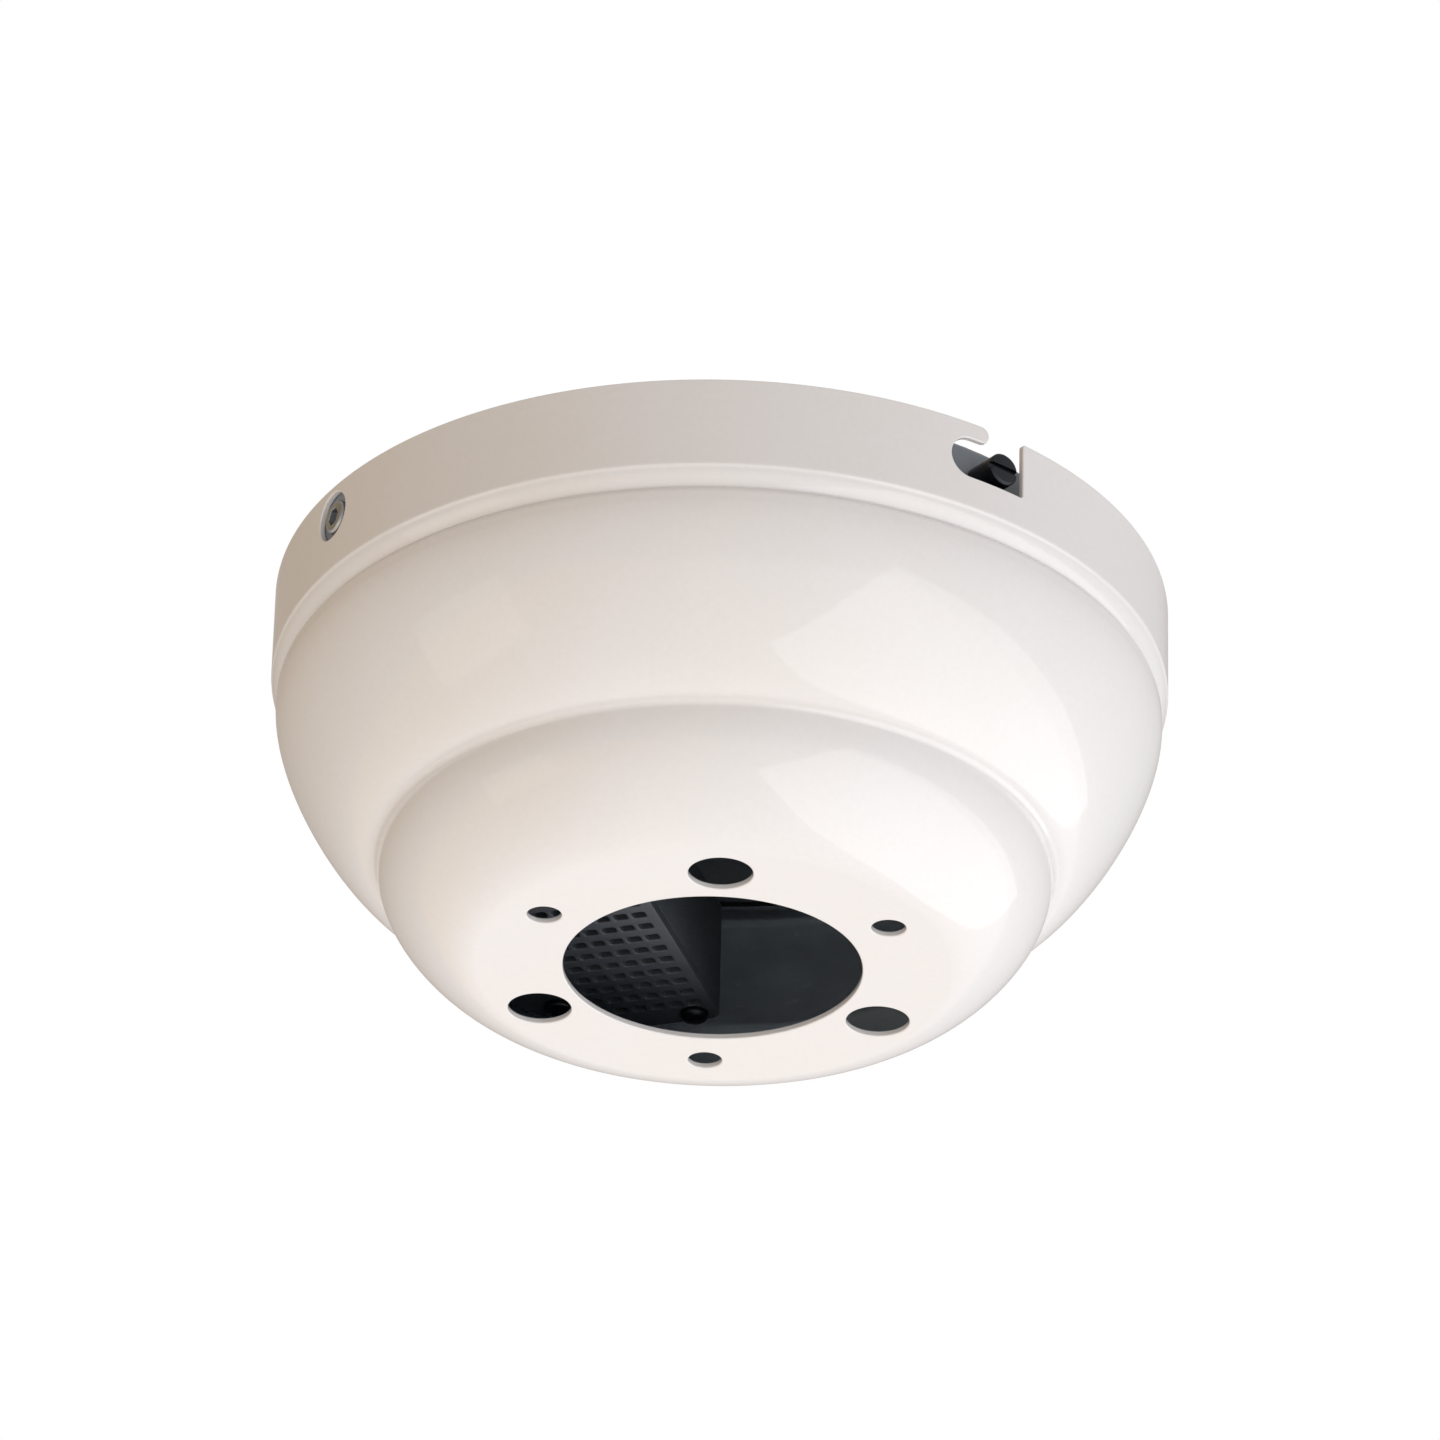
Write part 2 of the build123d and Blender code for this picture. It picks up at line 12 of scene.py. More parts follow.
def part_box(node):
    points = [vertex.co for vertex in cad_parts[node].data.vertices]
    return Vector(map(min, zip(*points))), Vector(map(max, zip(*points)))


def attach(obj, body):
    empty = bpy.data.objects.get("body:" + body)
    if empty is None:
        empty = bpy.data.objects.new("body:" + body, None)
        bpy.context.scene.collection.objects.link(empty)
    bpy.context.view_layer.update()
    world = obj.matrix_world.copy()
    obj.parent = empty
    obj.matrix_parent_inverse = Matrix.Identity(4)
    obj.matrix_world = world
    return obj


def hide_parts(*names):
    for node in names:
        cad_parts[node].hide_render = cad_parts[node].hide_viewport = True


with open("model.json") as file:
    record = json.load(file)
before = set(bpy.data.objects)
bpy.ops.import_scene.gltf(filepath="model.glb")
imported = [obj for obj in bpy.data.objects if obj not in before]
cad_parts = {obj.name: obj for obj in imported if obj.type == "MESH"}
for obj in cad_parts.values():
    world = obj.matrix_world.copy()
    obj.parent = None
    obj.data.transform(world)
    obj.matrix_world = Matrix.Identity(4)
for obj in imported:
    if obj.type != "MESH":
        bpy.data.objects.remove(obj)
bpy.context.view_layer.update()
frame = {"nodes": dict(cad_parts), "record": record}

bl_info = {
    "name": "Ceiling Canopy Dresser",
    "version": (1, 0, 0),
    "blender": (4, 5, 0),
    "location": "3D View > Sidebar > Canopy",
    "description": "Dresses the canopy's frame with its enamelled shell, fasteners, receiver and finishes",
    "category": "Object",
}

# The frame is in metres: z = 0 is the ceiling face, +Z points up and -Y is the front.
SEAM = radians(-90)
EDGE_STEPS = 4
COLUMNS = 360
SKIRT_ROWS = 6
SPOT_MARGIN = 0.001
SHARP_TURN = radians(165)
MERGE = 1e-6
FLOOR_HALF = 6.0
SHELL_LOW, SHELL_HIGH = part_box("canopy_shell")
BODY_OF = {node: body for body, nodes in frame["record"]["behaviour"]["bodies"].items() for node in nodes}
SLOT_OF = {part["node"]: part["material_slot"] for part in frame["record"]["subparts"]}


def length(name, description, default):
    """A size in metres."""
    return FloatProperty(name=name, description=description, default=default, precision=5, unit="LENGTH")


def turn(name, description, default):
    """An angle, given in degrees."""
    return FloatProperty(name=name, description=description, default=radians(default), unit="ROTATION")


def share(name, description, default):
    """A plain ratio."""
    return FloatProperty(name=name, description=description, default=default)


def colour(name, description, default):
    return FloatVectorProperty(name=name, description=description, default=default, subtype="COLOR",
                               size=3, min=0, max=1)


class ShellSizes(PropertyGroup):
    """The enamelled shell's profile, from the rim down to the flat."""
    rim_radius: length("Rim radius", "Outer radius of the skirt", SHELL_HIGH.x)
    wall: length("Wall", "Thickness of the sheet", 0.0012)
    edge: length("Edge", "Radius on the rims of the sheet and its holes", 0.0003)
    bead_drop: length("Bead drop", "From the rim down to the bead", 0.0170)
    bead_height: length("Bead height", "From the bead down to the shoulder", 0.0044)
    bead_groove: length("Bead groove", "Depth of the line above the bead", 0.0003)
    bead_step: length("Bead step", "How far the lower line lies inside the skirt", 0.0021)
    bead_crown: length("Bead crown", "How far the bead bulges between its lines", 0.00025)
    shoulder: length("Shoulder", "Straight wall between the bead and the bulge", 0.0022)
    skirt_margin: length("Skirt margin", "Strip of skirt that is turned with the bead", 0.0010)
    bulge_inset: length("Bulge inset", "How far the bulge starts inside the skirt", 0.0011)
    bulge_draft: length("Bulge draft", "How much the bulge leans in at its start", 0.0004)
    bulge_fullness: share("Bulge fullness", "Reach of its end tangents", 0.33)
    crease_radius: length("Crease radius", "Radius of the dome at the crease", 0.0597)
    crease_height: length("Crease height", "From the flat up to the crease", 0.0200)
    crease_fillet: length("Crease fillet", "Radius inside the crease", 0.0012)
    dome_fullness: share("Dome fullness", "Reach of its end tangents", 0.44)
    flat_radius: length("Flat radius", "Radius of the flat bottom", 0.0415)
    hub_radius: length("Hub radius", "Radius of the opening in the flat", 0.0263)


class CutSizes(PropertyGroup):
    """The holes and bayonet slots in the shell."""
    hole_circle: length("Hole circle", "Radius of the circle of holes in the flat", 0.0346)
    isolator_hole: length("Isolator hole", "Radius of the large holes", 0.0056)
    screw_hole: length("Screw hole", "Radius of the small holes", 0.0030)
    hole_turn: turn("Hole turn", "Angle of the first large hole", -88.4)
    slot_turn: turn("Slot turn", "Angle of the first slot's middle", -55.3)
    slot_length: length("Slot length", "Along the skirt", 0.0153)
    slot_height: length("Slot height", "Up the skirt", 0.0077)
    lip: length("Lip", "Strip of skirt above the slot", 0.0032)
    mouth: length("Mouth", "Width of the slot's way out of the rim", 0.0076)
    corner: length("Corner", "Radius in the slot's corner", 0.0006)
    lock_turn: turn("Lock turn", "Angle of the first lock screw", -149.2)
    lock_drop: length("Lock drop", "From the rim down to the lock screws", 0.0059)
    lock_hole: length("Lock hole", "Radius of the access holes", 0.0045)


class ReceiverSizes(PropertyGroup):
    """The receiver's vented lid, in the receiver's own turned frame."""
    turned: turn("Turn", "Of the receiver about the vertical", -17.2)
    right: length("Right side", "Local X of the side nearest the middle", -0.0102)
    left: length("Left side", "Local X of the side furthest from the middle", -0.0460)
    front: length("Front", "Local Y of the front end", -0.0340)
    back: length("Back", "Local Y of the back end", 0.0394)
    round_side: length("Round side", "Radius of the side that follows the canopy", 0.0520)
    corner: length("Corner", "Radius of the corners", 0.0020)
    vent_width: length("Vent width", "Across the receiver", 0.0025)
    vent_height: length("Vent height", "Along the receiver", 0.0020)
    column_pitch: length("Column pitch", "From column to column", 0.0034)
    row_pitch: length("Row pitch", "From row to row", 0.0042)
    first_column: length("First column", "Local X of the first column of vents", -0.01355)
    first_row: length("First row", "Local Y of the first row of vents", 0.0326)
    columns: IntProperty(name="Columns", description="Columns of vents", default=6, min=1)
    rows: IntProperty(name="Rows", description="Rows of vents", default=15, min=1)
    vent_edge: length("Vent edge", "Radius on the lid's edges", 0.00025)
    window_x: length("Window X", "Local X of the code switch's window", -0.0386)
    window_y: length("Window Y", "Local Y of the code switch's window", 0.0020)
    window_width: length("Window width", "Across the receiver", 0.0067)
    window_length: length("Window length", "Along the receiver", 0.0122)
    screw_hole: length("Screw hole", "Radius of the lid's screw holes", 0.0014)


class HardwareSizes(PropertyGroup):
    """Small fasteners and the softened edges of the pressed and moulded parts."""
    bevel: length("Bevel", "Softening of plain machined edges", 0.00018)
    ring_width: length("Ring width", "From the slip ring's inside to its outside", 0.0052)
    rib_count: IntProperty(name="Ribs", description="Grip ribs round the slip ring", default=120, min=3)
    rib_height: length("Rib height", "Grip ribs above the slip ring", 0.00035)
    rib_width: length("Rib width", "Along the ring", 0.0012)
    rib_margin: length("Rib margin", "Plain ring beside the ribs", 0.0004)
    notch_half: turn("Notch half", "Half angle that is left plain at a notch", 10.5)
    small_head: share("Small head", "Head height over its width, under the limit", 1.5 / 5.2)
    large_head: share("Large head", "Head height over its width, above the limit", 2.6 / 8.0)
    small_limit: length("Head limit", "Width that parts small heads from large", 0.0065)
    spin_seed: IntProperty(name="Spin seed", description="Seed for how far each screw is turned", default=7)


class FinishColours(PropertyGroup):
    """Colours of the finishes, as linear values."""
    enamel: colour("Enamel", "Baked enamel outside", (0.86, 0.85, 0.85))
    enamel_warm: colour("Warm enamel", "Where the enamel is a little thicker", (0.85, 0.828, 0.81))
    inside: colour("Inside", "Grey primer inside the shell", (0.42, 0.49, 0.56))
    dark_steel: colour("Dark steel", "Electrophoretic coat on pressed steel", (0.19, 0.215, 0.24))
    black_zinc: colour("Black zinc", "On the studs and the lid screws", (0.05, 0.054, 0.062))
    zinc: colour("Zinc", "Bright plate on nuts and lock screws", (0.56, 0.60, 0.64))
    green: colour("Green", "Dyed plate on the ground screw", (0.06, 0.33, 0.12))
    moulded: colour("Moulded", "Receiver case and lid", (0.038, 0.045, 0.054))
    pale: colour("Pale", "Studio floor", (0.90, 0.925, 0.965))
    warm_floor: colour("Warm floor", "Far left of the studio floor", (0.80, 0.695, 0.57))


class StageSizes(PropertyGroup):
    """Camera and light."""
    lens: share("Lens", "Focal length in millimetres", 225.1)
    eye: FloatVectorProperty(name="Eye", description="Camera place", default=(0.0002, -1.3916, -0.8210),
                             subtype="TRANSLATION", unit="LENGTH", size=3)
    tilt: turn("Tilt", "Camera's look up from the horizon", 29.86)
    roll: turn("Roll", "Camera's roll", 1.45)
    floor_drop: length("Floor drop", "From the ceiling face down to the floor", 1.75)


# ------------------------------------------------------------------ shader nodes
def add(tree, kind, inputs=None, **settings):
    """A node with its settings and inputs set; an input may be a value or another node's output."""
    node = tree.nodes.new(kind)
    for name, value in settings.items():
        setattr(node, name, value)
    for name, value in (inputs or {}).items():
        socket = node.inputs[name]
        if isinstance(value, bpy.types.NodeSocket):
            tree.links.new(value, socket)
        else:
            socket.default_value = value
    return node


def sum_node(tree, operation, *values):
    """The outcome of one Math node."""
    return add(tree, "ShaderNodeMath", dict(enumerate(values)), operation=operation).outputs[0]


def rgba(value):
    return (*value, 1.0)


class Finish:
    """A surface whose colour, roughness and relief come from the object's own coordinates."""

    def __init__(self, name, roughness, metallic=0.0, **sockets):
        self.material = bpy.data.materials.new(name)
        self.material.use_nodes = True
        self.tree = self.material.node_tree
        self.shader = self.tree.nodes["Principled BSDF"]
        self.shader.inputs["Metallic"].default_value = metallic
        self.shader.inputs["Roughness"].default_value = roughness
        for socket, value in sockets.items():
            self.shader.inputs[socket.replace("_", " ")].default_value = value
        self.place = add(self.tree, "ShaderNodeTexCoord").outputs["Object"]
        self.relief = None

    def noise(self, scale, detail=2.0, stretch=None, roughness=0.5):
        """Noise value with this many features to the metre."""
        place = self.place
        if stretch:
            place = add(self.tree, "ShaderNodeMapping", {"Vector": place, "Scale": stretch}).outputs["Vector"]
        inputs = {"Vector": place, "Scale": scale, "Detail": detail, "Roughness": roughness}
        return add(self.tree, "ShaderNodeTexNoise", inputs).outputs["Fac"]

    def spread(self, value, low, high, start=0.3, end=0.7):
        """A value spread from low to high as the noise goes from start to end."""
        inputs = {"Value": value, "From Min": start, "From Max": end, "To Min": low, "To Max": high}
        return add(self.tree, "ShaderNodeMapRange", inputs).outputs["Result"]

    def mix(self, factor, first, second):
        return blend_colours(self.tree, factor, first, second)

    def paint(self, value):
        self.tree.links.new(value, self.shader.inputs["Base Color"])

    def dull(self, value):
        self.tree.links.new(value, self.shader.inputs["Roughness"])

    def emboss(self, height, distance, strength=1.0, coat=False):
        """Adds relief of this height, in metres, on top of what is there."""
        inputs = {"Height": height, "Distance": distance, "Strength": strength}
        if self.relief:
            inputs["Normal"] = self.relief
        self.relief = add(self.tree, "ShaderNodeBump", inputs).outputs["Normal"]
        self.tree.links.new(self.relief, self.shader.inputs["Normal"])
        if coat:
            self.tree.links.new(self.relief, self.shader.inputs["Coat Normal"])


def enamel_finish(colours):
    """Warm white baked enamel: glossy, with faint mottling, orange peel and a few specks."""
    finish = Finish("baked_enamel", 0.34, Coat_Weight=1.0, Coat_Roughness=0.045, Coat_IOR=1.7)
    cloud = finish.noise(34.0, 3.0)
    grain = finish.noise(900.0, 2.0)
    tone = finish.mix(finish.spread(cloud, 0.0, 1.0), rgba(colours.enamel), rgba(colours.enamel_warm))
    fine = finish.mix(finish.spread(grain, 0.0, 0.10), tone, (0.70, 0.66, 0.62, 1))
    cells = add(finish.tree, "ShaderNodeTexVoronoi", {"Vector": finish.place, "Scale": 55.0})
    centre = finish.spread(cells.outputs["Distance"], 1.0, 0.0, 0.010, 0.022)
    chosen = finish.spread(cells.outputs["Color"], 0.0, 1.0, 0.80, 0.84)
    speck = sum_node(finish.tree, "MULTIPLY", centre, chosen)
    finish.paint(finish.mix(speck, fine, (0.42, 0.36, 0.31, 1)))
    finish.dull(finish.spread(cloud, 0.30, 0.38))
    finish.emboss(finish.noise(420.0, 1.0), 0.00002, 0.35, coat=True)
    return finish.material


def coat_finish(name, tint, roughness, scale=60.0, **sockets):
    """Paint or plate on pressed steel: cloudy tone, fine pits and rubbed patches."""
    finish = Finish(name, roughness, **sockets)
    cloud = finish.noise(scale, 4.0)
    lighter = tuple(min(1.0, value * 1.35 + 0.008) for value in tint)
    tone = finish.mix(finish.spread(cloud, 0.0, 1.0), rgba(tint), rgba(lighter))
    rubbed = finish.spread(finish.noise(scale * 5, 5.0), 0.0, 0.35, 0.62, 0.78)
    finish.paint(finish.mix(rubbed, tone, rgba(tuple(min(1.0, value * 1.9 + 0.02) for value in tint))))
    finish.dull(finish.spread(cloud, roughness - 0.06, roughness + 0.08))
    finish.emboss(finish.noise(2600.0, 2.0), 0.00001, 0.4)
    return finish.material


def plated_finish(name, tint, roughness, stretch=(1.0, 1.0, 6.0)):
    """Zinc plate: metal with fine drawn lines and a mottled passivation."""
    finish = Finish(name, roughness, metallic=1.0)
    cloud = finish.noise(240.0, 4.0)
    haze = tuple(value * 0.72 for value in tint)
    finish.paint(finish.mix(finish.spread(cloud, 0.0, 0.8), rgba(tint), rgba(haze)))
    finish.dull(finish.spread(cloud, roughness - 0.08, roughness + 0.12))
    finish.emboss(finish.noise(2200.0, 3.0, stretch=stretch), 0.000012, 0.5)
    return finish.material


def moulded_finish(name, tint, roughness, grain, depth, **sockets):
    """Moulded plastic or rubber: spark texture and slight flow marks."""
    finish = Finish(name, roughness, **sockets)
    flow = finish.noise(45.0, 3.0, stretch=(1.0, 2.5, 1.0))
    lighter = tuple(min(1.0, value * 1.25 + 0.004) for value in tint)
    finish.paint(finish.mix(finish.spread(flow, 0.0, 1.0), rgba(tint), rgba(lighter)))
    finish.dull(finish.spread(finish.noise(grain, 2.0), roughness - 0.05, roughness + 0.10))
    finish.emboss(finish.noise(grain, 3.0), depth, 0.6)
    return finish.material


def board_finish():
    """Green solder mask over copper: faint tracks on a 2.5 mm grid."""
    finish = Finish("solder_mask", 0.28, Coat_Weight=0.4)
    tracks = add(finish.tree, "ShaderNodeTexBrick", {
        "Vector": finish.place, "Scale": 1.0,
        "Mortar Size": 0.0003, "Brick Width": 0.0076, "Row Height": 0.0025,
        "Color1": (0.02, 0.15, 0.06, 1), "Color2": (0.02, 0.13, 0.055, 1), "Mortar": (0.05, 0.27, 0.11, 1)})
    finish.paint(tracks.outputs["Color"])
    finish.emboss(tracks.outputs["Fac"], 0.00003, 0.5)
    return finish.material


def floor_finish(colours):
    """Pale painted floor, warmer towards the left wall."""
    finish = Finish("pale_floor", 0.6)
    across = add(finish.tree, "ShaderNodeSeparateXYZ", {"Vector": finish.place}).outputs["X"]
    cloud = finish.spread(finish.noise(2.0, 3.0), 0.0, 1.0)
    plain = finish.mix(cloud, rgba(colours.pale), (0.885, 0.91, 0.95, 1))
    tone = finish.mix(finish.spread(across, 0.0, 1.0, -2.6, 0.4), rgba(colours.warm_floor), plain)
    finish.paint(tone)
    finish.tree.links.new(tone, finish.shader.inputs["Emission Color"])
    finish.shader.inputs["Emission Strength"].default_value = 0.55
    return finish.material


def make_finishes(colours):
    """One material for each of the record's slots, and the shell's inside."""
    return {
        "enamel": enamel_finish(colours),
        "inside": coat_finish("dark_primer", tuple(colours.inside), 0.55),
        "dark_steel": coat_finish("satin_ecoat", tuple(colours.dark_steel), 0.38),
        "black_zinc": plated_finish("black_zinc", tuple(colours.black_zinc), 0.36),
        "zinc": plated_finish("bright_zinc", tuple(colours.zinc), 0.27),
        "green_zinc": plated_finish("green_zinc", tuple(colours.green), 0.34),
        "nylon": moulded_finish("black_nylon", (0.030, 0.030, 0.034), 0.48, 1800.0, 0.00002),
        "ring_rubber": moulded_finish("ring_rubber", (0.024, 0.024, 0.025), 0.72, 1500.0, 0.00004),
        "case_plastic": moulded_finish("spark_textured_case", tuple(colours.moulded), 0.46, 2400.0, 0.00003),
        "board": board_finish(),
        "relay_plastic": moulded_finish("relay_cover", (0.02, 0.07, 0.24), 0.25, 700.0, 0.00001),
        "film": moulded_finish("resin_box", (0.62, 0.42, 0.07), 0.30, 500.0, 0.00001),
        "sink_metal": plated_finish("extruded_sink", (0.52, 0.53, 0.55), 0.38, (14.0, 1.0, 1.0)),
        "switch_body": moulded_finish("switch_body", (0.36, 0.03, 0.025), 0.32, 900.0, 0.00001),
        "switch_slider": moulded_finish("switch_slider", (0.78, 0.78, 0.74), 0.35, 900.0, 0.00001),
        "terminal_plastic": moulded_finish("terminal_block", (0.055, 0.060, 0.066), 0.42, 1600.0, 0.00002),
    }


# -------------------------------------------------------------------- mesh tools
class Skin:
    """A closed skin whose points carry the true normals of the surfaces they lie on."""

    def __init__(self):
        self.numbers = {}
        self.points = []
        self.normals = []
        self.faces = []
        self.slots = []

    def point(self, place, normal):
        key = tuple(round(value * 1e7) for value in place)
        if key not in self.numbers:
            self.numbers[key] = len(self.points)
            self.points.append(Vector(place))
            self.normals.append(Vector(normal))
        return self.numbers[key]

    def face(self, corners, slot):
        """A face that looks the way its corners' normals do."""
        corners = list(dict.fromkeys(corners))
        if len(corners) < 3:
            return
        a, b, c = (self.points[number] for number in (corners[0], corners[1], corners[-1]))
        facing = sum((self.normals[number] for number in corners), Vector())
        if (b - a).cross(c - a).dot(facing) < 0:
            corners.reverse()
        self.faces.append(corners)
        self.slots.append(slot)

    def rows(self, rows, slot, closed):
        """Quads between rows of points."""
        for upper, lower in zip(rows, rows[1:]):
            count = len(upper)
            for column in range(count if closed else count - 1):
                after = (column + 1) % count
                self.face([upper[column], upper[after], lower[after], lower[column]], slot)

    def piece(self, name, materials, keep_normals=True):
        mesh = bpy.data.meshes.new(name)
        mesh.from_pydata(self.points, [], self.faces)
        mesh.polygons.foreach_set("material_index", self.slots)
        mesh.polygons.foreach_set("use_smooth", [True] * len(self.faces))
        if keep_normals:
            mesh.normals_split_custom_set_from_vertices(self.normals)
        for material in materials:
            mesh.materials.append(material)
        return link(name, mesh)


class Sheet:
    """A sheet of even thickness, drawn flat and then laid on its surface."""

    def __init__(self, skin, lay, wall, edge):
        self.skin = skin
        self.lay = lay
        self.wall = wall
        self.edge = edge

    def corner(self, spot, depth, slope, side, outline_normal=Vector((0, 0))):
        """A point at this depth, its normal leaning from the face towards the cut."""
        place, across, up, out = self.lay(spot, depth)
        rim = across * outline_normal.x + up * outline_normal.y
        return self.skin.point(place, out * (cos(slope) * side) + rim * sin(slope))

    def cut(self, outline, closed=True):
        """Walls a cut along its outline, with both of its rims rounded."""
        marks = outline_marks(outline, closed)
        turns = [radians(90 * step / EDGE_STEPS) for step in range(EDGE_STEPS + 1)]
        rows = []
        for slope in turns:
            back = self.edge * (1 - sin(slope))
            depth = self.edge * (1 - cos(slope))
            rows.append([self.corner(spot - normal * back * mitre, depth, slope, 1, normal)
                         for spot, normal, mitre in marks])
        self.skin.rows(rows, 0, closed)
        inner = []
        for slope in reversed(turns):
            back = self.edge * (1 - sin(slope))
            depth = self.wall - self.edge * (1 - cos(slope))
            inner.append([self.corner(spot - normal * back * mitre, depth, slope, -1, normal)
                          for spot, normal, mitre in marks])
        self.skin.rows([rows[-1], inner[0]], 0, closed)
        self.skin.rows(inner[:2], 0, closed)
        self.skin.rows(inner[1:], 1, closed)
        return [spot - normal * self.edge * mitre for spot, normal, mitre in marks]

    def fill(self, loops, spots=()):
        """Fills both faces between closed loops, the first of them round the rest."""
        flat = []
        edges = []
        for loop in loops:
            first = len(flat)
            flat.extend(loop)
            edges.extend((first + k, first + (k + 1) % len(loop)) for k in range(len(loop)))
        flat.extend(spots)
        scaled = [spot * 1000 for spot in flat]
        result = delaunay_2d_cdt(scaled, edges, [], 1, 1e-6)
        origins = [group[0] if group else None for group in result[3]]
        for corners in result[2]:
            spread = [flat[origins[number]] for number in corners]
            middle = sum(spread, Vector((0, 0))) / len(spread)
            if any(encloses(loop, middle) for loop in loops[1:]):
                continue
            self.skin.face([self.corner(spot, 0, 0, 1) for spot in spread], 0)
            self.skin.face([self.corner(spot, self.wall, 0, -1) for spot in spread], 1)


def encloses(loop, spot):
    """Whether the closed loop goes round this spot."""
    inside = False
    for first, second in zip(loop, loop[1:] + loop[:1]):
        if (first.y > spot.y) != (second.y > spot.y):
            crossing = first.x + (spot.y - first.y) * (second.x - first.x) / (second.y - first.y)
            inside ^= spot.x < crossing
    return inside


def outline_marks(outline, closed):
    """Each point with its normal, to the left of the way along, and its mitre."""
    marks = []
    count = len(outline)
    for number, spot in enumerate(outline):
        sides = []
        if closed or number > 0:
            sides.append(spot - outline[number - 1])
        if closed or number < count - 1:
            sides.append(outline[(number + 1) % count] - spot)
        normals = [Vector((-side.y, side.x)).normalized() for side in sides]
        normal = sum(normals, Vector((0, 0))).normalized()
        marks.append((spot, normal, 1 / max(0.3, normal.dot(normals[0]))))
    return marks


def arc(middle, radius, start, end, steps):
    """Points of an arc between two angles in degrees, both ends included."""
    angles = [radians(start + (end - start) * step / steps) for step in range(steps + 1)]
    return [Vector((middle[0] + radius * cos(angle), middle[1] + radius * sin(angle))) for angle in angles]


def circle(middle, radius, steps, first=0.0):
    return arc(middle, radius, degrees(first), degrees(first) + 360, steps)[:-1]


def bezier(a, b, c, d, steps):
    """Points of a cubic curve, its first point left out."""
    points = []
    for step in range(1, steps + 1):
        t = step / steps
        s = 1 - t
        near = Vector(a) * s ** 3 + Vector(b) * (3 * s * s * t)
        points.append(near + Vector(c) * (3 * s * t * t) + Vector(d) * t ** 3)
    return points


def run(start, end, steps):
    """Evenly spaced points along a line, its first point left out."""
    return [Vector(start).lerp(Vector(end), step / steps) for step in range(1, steps + 1)]


def soften(points, times):
    """Rounds a fine chain of points, its ends kept."""
    for _ in range(times):
        triples = zip(points, points[1:], points[2:])
        inner = [(before + 2 * point + after) / 4 for before, point, after in triples]
        points = [points[0], *inner, points[-1]]
    return points


def link(name, mesh):
    piece = bpy.data.objects.new(name, mesh)
    bpy.context.scene.collection.objects.link(piece)
    return piece


def settle(piece):
    """Applies what the modifiers make of a piece, and removes them."""
    bpy.context.view_layer.update()
    evaluated = piece.evaluated_get(bpy.context.evaluated_depsgraph_get())
    mesh = bpy.data.meshes.new_from_object(evaluated)
    mesh.name = piece.name
    piece.modifiers.clear()
    old = piece.data
    piece.data = mesh
    bpy.data.meshes.remove(old)
    return piece


def seat(piece, body, *nodes, slot=None):
    """Rides the piece on its body and lets it stand for these nodes."""
    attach(piece, body)
    if nodes:
        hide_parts(*nodes)
    return piece


def flat_lay(turned, height):
    """Lays a flat sheet, its face downwards, turned about the vertical."""
    across = Vector((cos(turned), sin(turned), 0))
    up = Vector((-sin(turned), cos(turned), 0))

    def lay(spot, depth):
        return across * spot.x + up * spot.y + Vector((0, 0, height + depth)), across, up, Vector((0, 0, -1))

    return lay


def box_loop(half_x, half_y):
    corners = ((-1, -1), (1, -1), (1, 1), (-1, 1))
    return [Vector((x * half_x, y * half_y)) for x, y in corners]


def rounded_box(half_x, half_y, corner, middle=(0, 0)):
    """A closed box outline with rounded corners, anticlockwise."""
    loop = []
    for x, y, start in ((1, 1, 0), (-1, 1, 90), (-1, -1, 180), (1, -1, 270)):
        centre = (middle[0] + x * (half_x - corner), middle[1] + y * (half_y - corner))
        loop += arc(centre, corner, start, start + 90, 4)
    return loop


def receiver_plan(sizes):
    """The receiver's D-shaped outline, anticlockwise: a box whose far side follows the canopy."""
    def towards(start, end):
        reach = (end - start).length
        return start.lerp(end, min(1.0, sizes.corner / reach))

    far = sizes.round_side
    side_y = sqrt(max(0.0, far ** 2 - sizes.left ** 2))
    front_x = -sqrt(far ** 2 - sizes.front ** 2)
    back_x = -sqrt(far ** 2 - sizes.back ** 2)
    corners = [(sizes.right, sizes.front), (sizes.right, sizes.back), (back_x, sizes.back)]
    corners += round_points(far, (back_x, sizes.back), (sizes.left, side_y))
    corners += round_points(far, (sizes.left, -side_y), (front_x, sizes.front))
    corners.append((front_x, sizes.front))
    loop = []
    for number, spot in enumerate(corners):
        spot = Vector(spot)
        entry = Vector(corners[number - 1])
        leave = Vector(corners[(number + 1) % len(corners)])
        if (entry - spot).angle(leave - spot) < SHARP_TURN:
            loop += bezier_corner(towards(spot, entry), spot, towards(spot, leave))
        else:
            loop.append(spot)
    return loop


def round_points(radius, start, end, steps=14):
    """Points inside an arc about the origin, both ends left out but kept exact beside them."""
    first = Vector(start).angle_signed(Vector((1, 0))) % (2 * pi)
    last = Vector(end).angle_signed(Vector((1, 0))) % (2 * pi)
    angles = [first + (last - first) * step / steps for step in range(1, steps)]
    return [(radius * cos(angle), radius * sin(angle)) for angle in angles]


def bezier_corner(first, corner_at, last):
    return [first] + bezier(first, first.lerp(corner_at, 0.55), last.lerp(corner_at, 0.55), last, 6)


